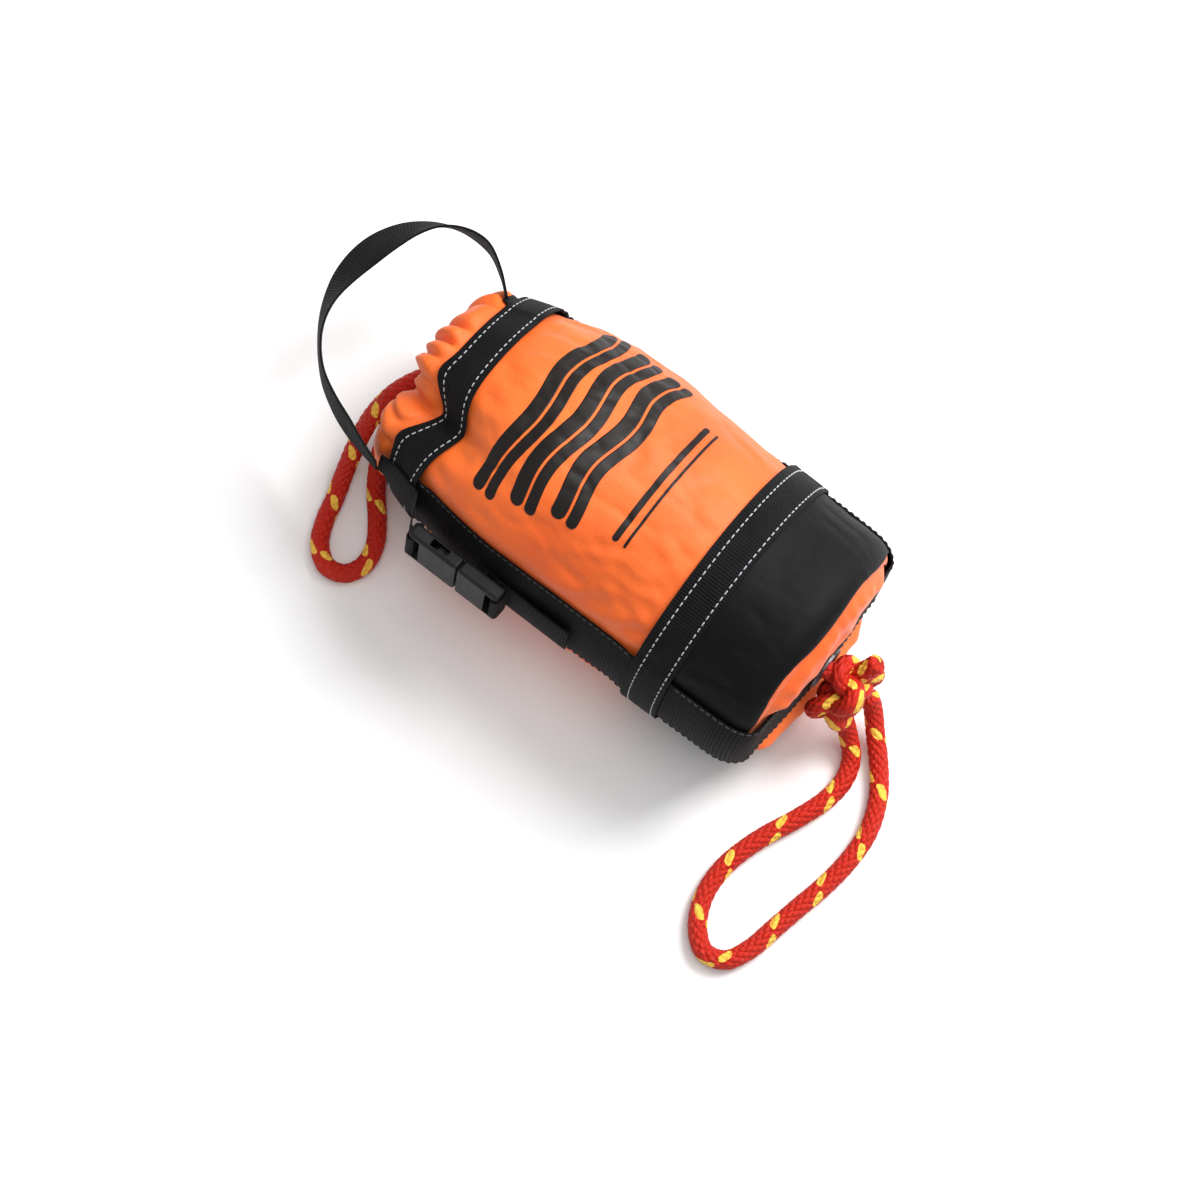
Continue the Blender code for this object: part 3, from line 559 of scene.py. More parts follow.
MOUTH_LOOP_ROUTE = [
    (-103, 6, 56), (-113, 3, 57), (-121, -3.5, 56), (-129.5, -16, 49), (-134.5, -30, 35.5),
    (-135.5, -44, 19), (-133.5, -57, 8.5), (-130, -69, 5.2), (-127, -80, 5), (-121.5, -91, 5),
    (-112, -97.5, 5), (-102.5, -95, 5), (-98, -86, 5), (-100, -75, 5), (-107.5, -64, 5),
    (-115.5, -55, 6), (-121.5, -45.5, 12), (-125, -36, 21), (-127, -26, 32), (-125, -17, 41.5),
    (-119, -9, 46.8), (-112, -5, 48.6), (-103, -4.5, 49)]
BASE_LOOP_ROUTE = [
    (131, -7, 26), (137, -10, 14), (145, -17, 6.5), (148.5, -27, 5), (147.5, -40, 5),
    (142, -56, 5), (135, -72, 5), (130.5, -86, 5), (128.5, -99, 5), (130, -113, 5),
    (136.5, -126, 5), (146, -133, 5), (156, -130, 5), (162, -119, 5), (165, -105, 5),
    (168, -90, 5), (171.5, -74, 5), (173.5, -57, 5), (172.5, -40, 5), (166.5, -24, 5),
    (157, -11, 5.5), (147, -1, 10), (139.5, 6, 18), (134, 8.5, 28)]
KNOT_TAIL_ROUTE = [
    (123, 2, 46), (125.5, 6, 52), (127.3, 9.6, 57.2), (129.1, 12.7, 61.3), (131, 15.9, 65.5)]
BASE_KNOT_CENTRE = (125, 0, 42)
BASE_KNOT_HALF = (10.4, 17, 18.5)
STOPPER_HALF = (9, 17, 16)
MOUTH_KNOT_HALF = (9.5, 17, 15)
ROPE_ROW = 0.9 * MM


def rope_loop(name, points, replaced, material):
    path = route(np.array(points) * MM, ROPE_ROW)
    obj = add_piece(name, rope_tube(path, ROPE), material, replaces=[replaced])
    weld(obj)


def doubled_overhand(centre, half, turn=0.0):
    """The two closed strands of a tight overhand knot tied in doubled rope, flat across X."""
    t = np.linspace(0, math.tau, 220, endpoint=False)
    reach_y = (half[1] * MM - ROPE / 2) / 2.6
    reach_z = (half[2] * MM - ROPE / 2) / 2.75
    y = np.sin(t) + 2 * np.sin(2 * t)
    z = np.cos(t) - 2 * np.cos(2 * t)
    y, z = y * math.cos(turn) - z * math.sin(turn), y * math.sin(turn) + z * math.cos(turn)
    core = joined(-0.5 * ROPE * np.sin(3 * t), y * reach_y, z * reach_z)
    core[:, 2] -= core[:, 2].mean() * 0.5
    ahead = unit(np.roll(core, -1, axis=0) - np.roll(core, 1, axis=0))
    flat = unit(np.cross(ahead, (1.0, 0.0, 0.0)))
    strands = []
    for side in (-1, 1):
        shift = side * ROPE * 0.47
        beside = (np.cos(3 * t) * shift)[:, None] * np.array([[1.0, 0, 0]])
        above = (np.sin(3 * t) * shift * 0.8)[:, None] * flat
        strand = core + (beside + above) + np.array(centre)
        strands.append(np.concatenate([strand, strand[:3]]))
    return strands


def knot_piece(name, centre, half, turn, material, replaced, extra=()):
    batch = Batch()
    for k, strand in enumerate(doubled_overhand(centre, half, turn)):
        path = resample(strand, 1.1 * MM)
        batch.add(*rope_tube(path, ROPE * 0.98, start=0.011 * k, closed_ends=False))
    for path in extra:
        batch.add(*rope_tube(resample(path, 1.0 * MM), ROPE, start=0.004))
    weld(batch.piece(name, material, replaces=replaced))


def make_rope(material):
    rope_loop("mouth_loop_rope", MOUTH_LOOP_ROUTE, "mouth_loop", material)
    rope_loop("base_loop_rope", BASE_LOOP_ROUTE, "base_loop", material)
    axis = AXIS_HEIGHT / MM
    lead = [(low("base_lead").x / MM, 0, axis), (100, 0, axis), (112, 0, axis - 0.8),
            (121, 2, axis - 6)]
    extra = [route(np.array(points) * MM, MM) for points in (lead, KNOT_TAIL_ROUTE)]
    knot_piece("base_knot_rope", np.array(BASE_KNOT_CENTRE) * MM, BASE_KNOT_HALF, math.pi, material,
               ["base_knot", "knot_tail", "base_lead"], extra)
    knot_piece("stopper_knot_rope", box_centre("stopper_knot"), STOPPER_HALF, 0.4, material,
               ["stopper_knot"])
    knot_piece("mouth_knot_rope", box_centre("mouth_knot"), MOUTH_KNOT_HALF, math.pi, material,
               ["mouth_knot"])


def box_centre(node):
    return np.array((low(node) + high(node)) / 2)


make_camera()
ROPE_LOOK = rope_material()
make_rope(ROPE_LOOK)


# ---------------------------------------------------------------- shape of the bag

DENT_DEPTH = 12 * MM
DENT_WIDTH = 12 * MM
DENT_ANGLE = math.radians(119)
DENT_PUSH = 9 * MM            # how far the dent carries the mouth band towards the base
STRAP_ANGLES = (math.pi + SIDE_STRAP_TILT, SIDE_STRAP_TILT)
PLEATS = 23
SIDE_END = BASE_X - RIM_DEPTH - MOUTH_X       # from the mouth edge to the rim, along the side
GATHER_RUN = 46 * MM          # length of the gathered fabric beyond the mouth edge
RIM_RUN = 15 * MM
FLOOR_BLEND = 8 * MM


def smoothstep(value, start, end):
    t = np.clip((value - start) / (end - start), 0, 1)
    return t * t * (3 - 2 * t)


def hump(value, centre, width):
    return np.exp(-((value - centre) / width) ** 2)


def shoulder(x):
    return np.clip((MOUTH_X + SHOULDER_LENGTH - x) / SHOULDER_LENGTH, 0, 1) ** 2


def body_radius(x):
    return (BELLY_RADIUS - (BELLY_RADIUS - NECK_RADIUS) * shoulder(x)
            - (BELLY_RADIUS - BASE_RADIUS) * np.clip(x / (BASE_X - RIM_DEPTH), 0, 1))


def axis_height(x):
    return AXIS_HEIGHT - MOUTH_SAG * shoulder(x)


def floor_height(x):
    """Height of the flat the bag rests on, where the webbing lies under it and where it doesn't."""
    band = 1 - smoothstep(x, MOUTH_X + BAND_WIDTH, MOUTH_X + BAND_WIDTH + FLOOR_BLEND)
    tape = smoothstep(x, SLEEVE_X - FLOOR_BLEND, SLEEVE_X)
    past_tape = smoothstep(x, SLEEVE_X + TAPE_WIDTH, SLEEVE_X + TAPE_WIDTH + FLOOR_BLEND)
    return BAND_OUT * band + BAND_OUT * tape - (BAND_OUT - FABRIC - GAP) * past_tape


def noise_field(points, scale, seed, octaves=2):
    """Smooth noise, about -1..1, at points in metres; scale is the size of its features."""
    shape = points.shape[:-1]
    flat = points.reshape(-1, 3) / scale + seed * 17.31
    values = np.empty(len(flat))
    for k, point in enumerate(flat):
        total, size = 0.0, 1.0
        for octave in range(octaves):
            total += size * noise.noise(Vector(point * 2 ** octave))
            size *= 0.5
        values[k] = total
    return values.reshape(shape) * 1.6


def angle_gap(angle, centre):
    return (angle - centre + math.pi) % math.tau - math.pi


def strap_distance(a):
    """Distance round the side from each side strap's centre line."""
    return [np.abs(angle_gap(a, centre)) * BELLY_RADIUS for centre in STRAP_ANGLES]


FOLDS = (                     # x, tilt, width and depth of the long soft folds by the near strap
    (20 * MM, 0.55, 5 * MM, 1.9 * MM), (2 * MM, 0.75, 6 * MM, 1.5 * MM),
    (-22 * MM, 0.95, 6 * MM, 1.2 * MM), (34 * MM, 0.3, 4 * MM, 1.6 * MM))
FOLD_ANGLE = math.radians(148)
HALF_STRAP = 0.5 * SIDE_STRAP_WIDTH


class WrinkleMap:
    """Wrinkle heights on a table of place along the side and angle, looked up smoothly."""

    ROWS, COLUMNS = 150, 400

    def __init__(self):
        s = np.linspace(0, SIDE_END + RIM_RUN, self.ROWS)
        a = np.linspace(0, math.tau, self.COLUMNS, endpoint=False)
        s, a = spread(s, a)
        x = MOUTH_X + s
        radius = body_radius(x)
        points = joined(x, radius * np.cos(a), radius * np.sin(a))
        soft = noise_field(points, 48 * MM, 1) * 1.5 * MM
        skew = points.copy()
        skew[..., 0] *= 0.42
        crease = noise_field(skew, 15 * MM, 2, 3)
        crease = -1.0 * MM * np.exp(-(crease / 0.2) ** 2)
        fine = noise_field(points, 9 * MM, 3) * 0.28 * MM
        open_area = smoothstep(x, MOUTH_X + BAND_WIDTH, MOUTH_X + BAND_WIDTH + 7 * MM) * (
            1 - smoothstep(x, SLEEVE_X - 7 * MM, SLEEVE_X))
        sleeve = smoothstep(x, SLEEVE_X + TAPE_WIDTH, SLEEVE_X + TAPE_WIDTH + 8 * MM)
        away = np.ones_like(x)
        for gap in strap_distance(a):
            away *= smoothstep(gap, HALF_STRAP - 1 * MM, HALF_STRAP + 9 * MM)
        near = angle_gap(a, FOLD_ANGLE) * BELLY_RADIUS
        folds = np.zeros_like(x)
        for x0, tilt, width, depth in FOLDS:
            line = (x - x0) + near / tilt
            folds -= depth * hump(line, 0, width * 1.4) * hump(near, 0, 26 * MM)
            folds += 0.6 * depth * hump(line, width * 2.6, width * 1.6) * hump(near, 0, 26 * MM)
        # Puckers at the seams
        band_end = MOUTH_X + BAND_WIDTH
        pucker = np.sin(27 * a + 3 * np.sin(3 * a)) * 0.75 * MM * hump(x, band_end + 5 * MM, 9 * MM)
        pucker += np.sin(31 * a + 2 * np.sin(5 * a)) * 0.5 * MM * hump(x, SLEEVE_X - 5 * MM, 8 * MM)
        between = np.clip((x - band_end) / (SLEEVE_X - band_end), 0, 1)
        puff = 2.6 * MM * np.sin(between * math.pi) ** 0.6
        self.table = (soft * (0.45 + 0.55 * open_area) * (0.4 + 0.6 * away)
                      + (crease + fine + folds + pucker) * away
                      * np.maximum(open_area, 0.5 * sleeve)
                      + 1.9 * MM * away * (1 - 0.25 * sleeve) + puff * away * open_area)

        for _ in range(2):
            sides = np.roll(self.table, 1, axis=1) + np.roll(self.table, -1, axis=1)
            self.table = (sides + 2 * self.table) / 4
            self.table[1:-1] = (self.table[:-2] + 2 * self.table[1:-1] + self.table[2:]) / 4

    def __call__(self, s, a):
        rows = np.clip(s / (SIDE_END + RIM_RUN) * (self.ROWS - 1), 0, self.ROWS - 1.001)
        columns = (a % math.tau) / math.tau * self.COLUMNS
        i, j = rows.astype(int), columns.astype(int) % self.COLUMNS
        k = (j + 1) % self.COLUMNS
        u, v = rows - i, columns - np.floor(columns)
        t = self.table
        return ((t[i, j] * (1 - v) + t[i, k] * v) * (1 - u)
                + (t[i + 1, j] * (1 - v) + t[i + 1, k] * v) * u)


WRINKLES = WrinkleMap()


def pleats(angle, depth_share):
    """Rounded pleats with sharp valleys, -1..1, that double up towards the throat."""
    warped = angle + 0.09 * np.sin(3 * angle + 1.0) + 0.05 * np.sin(7 * angle + 2.2)
    large = np.abs(np.sin(warped * PLEATS / 2)) ** 0.7 * 2 - 1.1
    height = 0.85 + 0.3 * np.sin(5 * angle + 0.7) * np.sin(2 * angle) + 0.22 * np.sin(9 * angle + 2)
    small = np.sin(warped * PLEATS * 2 + 1.3 * np.sin(4 * angle)) * 0.25 * depth_share
    return large * height + small


def bag_point(s, a, offset):
    """A point of a layer: s runs along the bag from the mouth edge, negative in the gathers."""
    s, a, offset = np.broadcast_arrays(*(np.asarray(value, float) for value in (s, a, offset)))
    wrinkle = WRINKLES(np.maximum(s, 0), a)
    side_x = MOUTH_X + np.clip(s, 0, SIDE_END)
    x, r = side_x.copy(), body_radius(side_x)
    nx, nr = np.zeros_like(x), np.ones_like(x)
    # Rim of the base
    turn = np.clip((s - SIDE_END) / RIM_RUN, 0, 1) * math.radians(88)
    rim = s > SIDE_END
    x = np.where(rim, BASE_X - RIM_DEPTH + RIM_DEPTH * np.sin(turn), x)
    r = np.where(rim, BASE_RADIUS - RIM_DROP + RIM_DROP * np.cos(turn), r)
    nx, nr = np.where(rim, np.sin(turn), nx), np.where(rim, np.cos(turn), nr)
    # Gathers
    share = np.clip(-s / GATHER_RUN, 0, 1)
    psi = math.radians(90) - share * math.radians(138)
    gathered = s < 0
    middle, half = (NECK_RADIUS + THROAT_RADIUS) / 2, (NECK_RADIUS - THROAT_RADIUS) / 2
    lift = WRINKLES(np.zeros_like(s), a) * (1 - smoothstep(share, 0, 0.5))
    x = np.where(gathered, MOUTH_X - GATHER_DEPTH * np.cos(psi), x)
    r = np.where(gathered, middle + half * np.sin(psi), r)
    nx, nr = np.where(gathered, -np.cos(psi), nx), np.where(gathered, np.sin(psi), nr)
    rise = smoothstep(share, 0.02, 0.22)
    fall = 1 - 0.6 * smoothstep(share, 0.35, 0.95)
    pleat = pleats(a, share) * 3.3 * MM * rise * fall
    height = np.where(gathered, lift + pleat + 1.3 * MM * rise * fall,
                      wrinkle * (1 - 0.6 * rim * np.sin(turn)))
    x = x + (offset + height) * nx
    r = r + (offset + height) * nr
    # Dent at the mouth, where the band folds in and is carried towards the base
    across = np.abs(angle_gap(a, DENT_ANGLE)) * NECK_RADIUS
    fold = np.exp(-(across / DENT_WIDTH) ** 1.7)
    reach = np.sqrt(shoulder(x)) * np.minimum(r / NECK_RADIUS, 1) ** 2
    x = x + DENT_PUSH * fold * reach * (1 - smoothstep(x, MOUTH_X + 20 * MM, MOUTH_X + 62 * MM))
    beside = hump(across, 17 * MM, 8 * MM) * reach
    x = x - 3.5 * MM * beside * smoothstep(-x, -MOUTH_X - 12 * MM, -MOUTH_X)
    r = r - DENT_DEPTH * fold * reach
    z = axis_height(x) + r * np.sin(a)
    ground = floor_height(x) - offset
    soft = 1.2 * MM
    pressed = soft * np.exp(np.minimum((z - ground - soft) / soft, 0)) * 0.3
    z = np.where(z > ground + soft, z, ground + pressed)
    return joined(x, r * np.cos(a), z)


def cloth(s, a, out, inner, wrap=True):
    """A closed layer between two offsets from the bag's face."""
    uv = joined(s, a * BELLY_RADIUS)
    return slab(bag_point(s, a, out), bag_point(s, a, inner), uv, wrap)


def around(count):
    return np.linspace(0, math.tau, count, endpoint=False)


TAPE_START = SLEEVE_X - MOUTH_X
HEM_DROP = 4.2 * MM           # how far the sleeve's hem stays from the end of the rim


def make_bag(orange, black, webbing):
    rim = np.linspace(SIDE_END, SIDE_END + RIM_RUN, 12)
    s = np.concatenate([np.linspace(-GATHER_RUN, 0, 42, endpoint=False),
                        np.linspace(0, SIDE_END, 106, endpoint=False), rim])
    s, a = spread(s, around(304))
    add_piece("bag_body_cloth", cloth(s, a, 0.0, -FABRIC), orange, replaces=["bag_body"])

    s = np.concatenate([np.linspace(TAPE_START, SIDE_END, 40, endpoint=False), rim])
    s, a = spread(s, around(368))
    # The sleeve's hem at the rim waves in and out
    hem = 1.8 * MM * np.sin(3 * a + 0.5) + 1.3 * MM * np.sin(7 * a)
    s = s - (HEM_DROP + hem) * smoothstep(s, SIDE_END - 8 * MM, SIDE_END + RIM_RUN)
    add_piece("base_sleeve_cloth", cloth(s, a, GAP + FABRIC, GAP), black, replaces=["base_sleeve"])
    band("mouth_band_web", 0.0, BAND_WIDTH, "mouth_band", webbing)
    band("base_tape_web", TAPE_START, TAPE_WIDTH, "base_tape", webbing)


def band_offset(a, s0):
    """Centre of the webbing over the bag's face: down on the cloth, and up over the side strap."""
    over = np.zeros_like(a)
    for gap in strap_distance(a):
        over = np.maximum(over, 1 - smoothstep(gap, HALF_STRAP, HALF_STRAP + 7 * MM))
    resting = GAP + FABRIC + 0.2 * MM
    root = 0.0
    if s0 == 0:
        gap = np.abs(angle_gap(a, CARRY_FAR_ANGLE)) * NECK_RADIUS
        root = 1.1 * MM * (1 - smoothstep(gap, 0.5 * STRAP_WIDTH, 0.5 * STRAP_WIDTH + 5 * MM))
    return np.maximum(resting + (BAND_IN - resting) * over, resting + root) + WEBBING / 2


def webbing_section(width, thickness):
    """Offsets (across, height) of the outer face of webbing with rounded edges."""
    half, crown = width / 2, thickness / 2
    count = max(4, round(width / (2.2 * MM)))
    face = [(-half + crown + (width - 2 * crown) * k / count, crown) for k in range(count + 1)]
    edge = [(half, 0.0), (half - 0.12 * crown, 0.62 * crown), (half - 0.5 * crown, 0.95 * crown)]
    return np.array([(-across, height) for across, height in edge] + face + edge[::-1])


def band(name, s0, width, replaced, material):
    outline = webbing_section(width, WEBBING)
    s, angle = spread(s0 + width / 2 + outline[:, 0], around(420))
    centre = band_offset(angle, s0)
    rise = outline[:, 1][:, None]
    uv = joined(angle * BELLY_RADIUS, s)
    # The stitch rows pull the webbing down a little
    pull = sum(STITCH_PULL * hump(s, s0 + row, 0.8 * MM) for row in STITCH_ROWS[replaced])
    outer, inner = bag_point(s, angle, centre + rise - pull), bag_point(s, angle, centre - rise)
    add_piece(name, slab(outer, inner, uv, True), material, replaces=[replaced])


STITCH_ROWS = {"mouth_band": (3.2 * MM, BAND_WIDTH - 3.2 * MM),
               "base_tape": (4.6 * MM, TAPE_WIDTH - 2.4 * MM)}
STITCH_PULL = 0.22 * MM
STITCH = 2.7 * MM
STITCH_GAP = 0.8 * MM
THREAD = 0.34 * MM


def stitch(batch, start, end, normal):
    """One thread bridge that dips into the cloth at both ends."""
    rise = (-0.6, 0.25, 0.55, 0.55, 0.25, -0.6)
    path = [start + (end - start) * k / 5 + normal * THREAD * h for k, h in enumerate(rise)]
    ahead = unit((end - start)[None])[0]
    side = np.cross(ahead, normal)
    side = side / max(np.linalg.norm(side), 1e-9)
    up = np.cross(side, ahead)
    turns = np.arange(6) / 6 * math.tau
    scale = (0.45, 0.95, 1, 1, 0.95, 0.45)
    verts = [p + (side * math.cos(t) + up * math.sin(t)) * THREAD * c
             for p, c in zip(path, scale) for t in turns]
    faces = grid_faces(6, 6, wrap=True) + [tuple(range(6))[::-1], tuple(range(30, 36))]
    batch.add(verts, faces, [(k / 36 * MM, 0) for k in range(36)])


def stitch_line(batch, points, normals):
    """Stitches along a path of points with normals."""
    lengths = arc_length(points)
    count = max(1, int(lengths[-1] / (STITCH + STITCH_GAP)))
    pitch = lengths[-1] / count
    starts = np.arange(count) * pitch + STITCH_GAP / 2

    ends = interpolate(starts + pitch - STITCH_GAP, lengths, points)
    middles = interpolate(starts + pitch / 2, lengths, normals)
    for start, end, normal in zip(interpolate(starts, lengths, points), ends, middles):
        stitch(batch, start, end, normal / np.linalg.norm(normal))


def surface_normals(s, a, offset):
    step = 0.4 * MM
    base = bag_point(s, a, offset)
    along = bag_point(s + step, a, offset) - base
    sideways = bag_point(s, a + step / BELLY_RADIUS, offset) - base
    normal = unit(np.cross(along, sideways))
    outward = base - joined(base[..., 0], 0, axis_height(base[..., 0]))
    return base, normal * np.sign(np.sum(normal * outward, axis=-1, keepdims=True))


def make_seams(thread):
    batch = Batch()
    a = np.linspace(0, math.tau, 900)
    outward = joined(0, np.cos(a), np.sin(a))
    for node, s0 in (("mouth_band", 0.0), ("base_tape", TAPE_START)):
        top = band_offset(a, s0) + WEBBING / 2 - STITCH_PULL
        for row in STITCH_ROWS[node]:
            points = bag_point(s0 + row, a, top)
            for run in runs(points[:, 2] > 0.6 * MM):
                stitch_line(batch, points[run], outward[run])
    batch.piece("band_stitching", thread)


def runs(keep):
    """Slices of consecutive true values, at least 6 long."""
    found, start = [], None
    for k, value in enumerate(list(keep) + [False]):
        if value and start is None:
            start = k
        if not value and start is not None:
            if k - start >= 6:
                found.append(slice(start, k))
            start = None
    return found


# ---------------------------------------------------------------- base disc and side strap

def disc_x(radius):
    edge = BASE_RADIUS - RIM_DROP
    return BASE_X + FABRIC + BASE_DOME * (1 - np.minimum(radius / edge, 1) ** 2)


def strap_gap(y, z):
    """Distance from the side strap's centre line on the base."""
    return np.abs(-y * math.sin(SIDE_STRAP_TILT) + z * math.cos(SIDE_STRAP_TILT))


def make_base_disc(material):
    """The base's orange disc: puffed either side of the strap that holds it in."""
    bore = ROPE / 2 + 1 * MM
    edge = BASE_RADIUS - RIM_DROP + 2.2 * MM
    r, a = spread(np.linspace(edge, bore, 44), around(240))
    y, z = r * np.cos(a), r * np.sin(a)
    away = smoothstep(strap_gap(y, z), HALF_STRAP - 1 * MM, HALF_STRAP + 10 * MM)
    rim = smoothstep(edge - r, 0, 9 * MM)
    points = joined(0, y, z)
    wave = noise_field(points, 26 * MM, 5) * 1.1 * MM + noise_field(points, 11 * MM, 6) * 0.4 * MM
    pucker = np.sin(34 * a + 2 * np.sin(5 * a)) * 0.5 * MM * hump(r, edge - 5 * MM, 5 * MM)
    x = disc_x(r) + away * rim * (5.2 * MM + 1.5 * wave + pucker) - (1 - rim) * 1.6 * MM
    outer = joined(x, y, z + AXIS_HEIGHT)
    inner = outer - np.array([FABRIC, 0, 0])
    low_edge = floor_height(BASE_X - RIM_DEPTH) + 1.0 * MM
    for grid in (outer, inner):
        grid[..., 2] = np.maximum(grid[..., 2], low_edge)
    add_piece("base_disc_cloth", slab(outer, inner, joined(y, z), True), material,
              replaces=["base_disc"])


def side_strap_offset(s):
    """Inner face of the strap over the bag's face: on the cloth, then up over the sleeve."""
    under_band = 1 - smoothstep(s, BAND_WIDTH, BAND_WIDTH + 9 * MM)
    sleeve = smoothstep(s, TAPE_START - 9 * MM, TAPE_START)
    return 0.5 * MM + (STRAP_IN - 0.5 * MM) * np.maximum(under_band, sleeve)


def half_strap(centre, sign, outline):
    """Rows of (outer, inner, uv) of the strap from the mouth edge to the middle of the base."""
    across, crown = outline[:, 0], outline[:, 1]
    rows = []
    angle = centre + sign * across / BELLY_RADIUS
    for s in np.linspace(1 * MM, SIDE_END + RIM_RUN * 0.9, 110):
        base = side_strap_offset(s) + WEBBING / 2
        rows.append((bag_point(s, angle, base + crown), bag_point(s, angle, base - crown),
                     joined(s, across)))
    cos_t, sin_t = math.cos(SIDE_STRAP_TILT), math.sin(SIDE_STRAP_TILT)
    for r in np.linspace(BASE_RADIUS - RIM_DROP - 1.5 * MM, 0, 28):
        flat_y, flat_z = sign * r, across
        radius = np.hypot(flat_y, flat_z)
        x = np.maximum(disc_x(radius) + GAP + WEBBING / 2, BASE_X + STRAP_IN + WEBBING / 2)
        y, z = flat_y * cos_t - flat_z * sin_t, flat_y * sin_t + flat_z * cos_t
        along = SIDE_END + RIM_RUN + BASE_RADIUS - r
        rows.append((joined(x + crown, y, z + AXIS_HEIGHT), joined(x - crown, y, z + AXIS_HEIGHT),
                     joined(along, across)))
    return rows


def make_side_strap(material, batch):
    """One strap down the near side, across the base and back up the far side."""
    outline = webbing_section(SIDE_STRAP_WIDTH, WEBBING)
    near, far = (half_strap(centre, sign, outline) for centre, sign in zip(STRAP_ANGLES, (-1, 1)))
    outer, inner, uvs = (np.array(grid) for grid in zip(*near, *far[::-1][1:]))
    soften(outer, inner)
    strap = add_piece("side_strap_web", slab(outer, inner, uvs), material, replaces=["side_strap"])
    cut_bore(strap, ROPE / 2 + 1.2 * MM)
    # Rows of stitching along both edges, where the strap is sewn to the bag
    for column in (3, outer.shape[1] - 4):
        path = outer[:, column]
        lift = unit(outer[:, column] - inner[:, column])
        hidden = (path[:, 0] < MOUTH_X + BAND_WIDTH + 1 * MM) | (
            (path[:, 0] > SLEEVE_X - 1 * MM) & (path[:, 0] < SLEEVE_X + TAPE_WIDTH + 1 * MM))
        for run in runs(~hidden):
            fine = resample(path[run], 2 * MM)
            where, was = np.linspace(0, 1, len(fine)), np.linspace(0, 1, len(path[run]))
            normals = interpolate(where, was, lift[run])
            stitch_line(batch, fine + normals * 0.02 * MM, normals)


def soften(*grids):
    """Evens out the step where the strap turns from the rim on to the base."""
    for grid in grids:
        for _ in range(3):
            grid[1:-1] = (grid[:-2] + 2 * grid[1:-1] + grid[2:]) / 4


def cut_bore(obj, radius):
    """A round hole on the bag's axis, through the strap across the base."""
    bm = bmesh.new()
    bm.from_mesh(obj.data)
    centre = Vector((0, 0, AXIS_HEIGHT))
    gone = [face for face in bm.faces
            if face.calc_center_median().x > BASE_X
            and (face.calc_center_median() - centre).yz.length < radius + 1.5 * MM]
    bmesh.ops.delete(bm, geom=gone, context="FACES")
    bm.to_mesh(obj.data)
    bm.free()


# ---------------------------------------------------------------- free webbing

def ribbon(centre, across, taper):
    """The shell of webbing along a path, with its crosswise direction at each point."""
    ahead = unit(np.gradient(centre, axis=0))
    across = unit(across - ahead * np.sum(ahead * across, axis=1, keepdims=True))
    normal = np.cross(ahead, across)
    outline = webbing_section(STRAP_WIDTH, WEBBING)
    shift = outline[:, 0][None, :, None] * across[:, None] * taper[:, None, None]
    crown = outline[:, 1][None, :, None] * normal[:, None]
    uv = joined(*spread(arc_length(centre), outline[:, 0]))
    return slab(centre[:, None] + shift + crown, centre[:, None] + shift - crown, uv)


CARRY_ROUTE = [
    (-110.5, 44.5, 81.5, 0), (-119, 51.5, 83, 0), (-131, 58, 81.5, 0), (-145, 58.5, 78, 6),
    (-158, 54, 75, 22), (-169, 44, 73, 42), (-176, 31, 72, 58), (-179, 17, 71, 58),
    (-178.5, 2, 70.5, 36), (-175, -12, 70, 16), (-168, -25, 70, 6), (-157.5, -36, 70, 6),
    (-145, -43, 70.5, 10), (-132, -48, 71, 12), (-120, -52, 71, 8), (-111, -54.5, 71, 0)]
CARRY_FAR_ANGLE = math.radians(33)
CARRY_NEAR_ANGLE = math.radians(162)
LEAN_SMOOTHING = 13           # points
BUCKLE_X = -75 * MM
BUCKLE_ANGLE = math.radians(170)
BUCKLE_HEIGHT = 7.5 * MM
SOCKET_LENGTH = 28 * MM
BUCKLE_RADIUS = BELLY_RADIUS + STRAP_OUT + GAP + WEBBING + GAP
BAR = 2.6 * MM
PLUG_END = high("buckle_plug").x
TAB_END = high("plug_tab").x
FOLDED = 0.66                 # width left where the carry strap is folded in at its sewn ends
ROOT_REACH = 1.6 * MM


def root_fold(x):
    """Share of the webbing's width at a sewn root, which is folded in at the mouth edge."""
    return FOLDED + (1 - FOLDED) * smoothstep(x, MOUTH_X - 3 * MM, MOUTH_X + 9 * MM)


def laid_web(name, stations, material, replaced):
    """Webbing laid round the bag's side through stations of (x, angle, distance from the axis)."""
    outline = webbing_section(STRAP_WIDTH, WEBBING)
    outer, inner, uvs, along = [], [], [], 0.0
    for k, (x, angle, radius) in enumerate(stations):
        turned = angle - root_fold(x) * outline[:, 0] / radius
        for grid, crown in ((outer, outline[:, 1]), (inner, -outline[:, 1])):
            r = radius + crown
            grid.append(joined(x, r * np.cos(turned), axis_height(x) + r * np.sin(turned)))
        along += math.hypot(x - stations[k - 1][0], radius - stations[k - 1][2]) if k else 0.0
        uvs.append(joined(along, outline[:, 0]))
    add_piece(name, slab(np.array(outer), np.array(inner), np.array(uvs)), material,
              replaces=[replaced])


def face_radius(x, angle):
    """Distance of the bag's face from its axis, at its fattest across a strap's width."""
    angles = angle + np.linspace(-0.18, 0.18, 7)
    points = bag_point(max(x - MOUTH_X, 0.0), angles, 0.0)
    return float(np.max(np.hypot(points[:, 1], points[:, 2] - axis_height(points[:, 0]))))


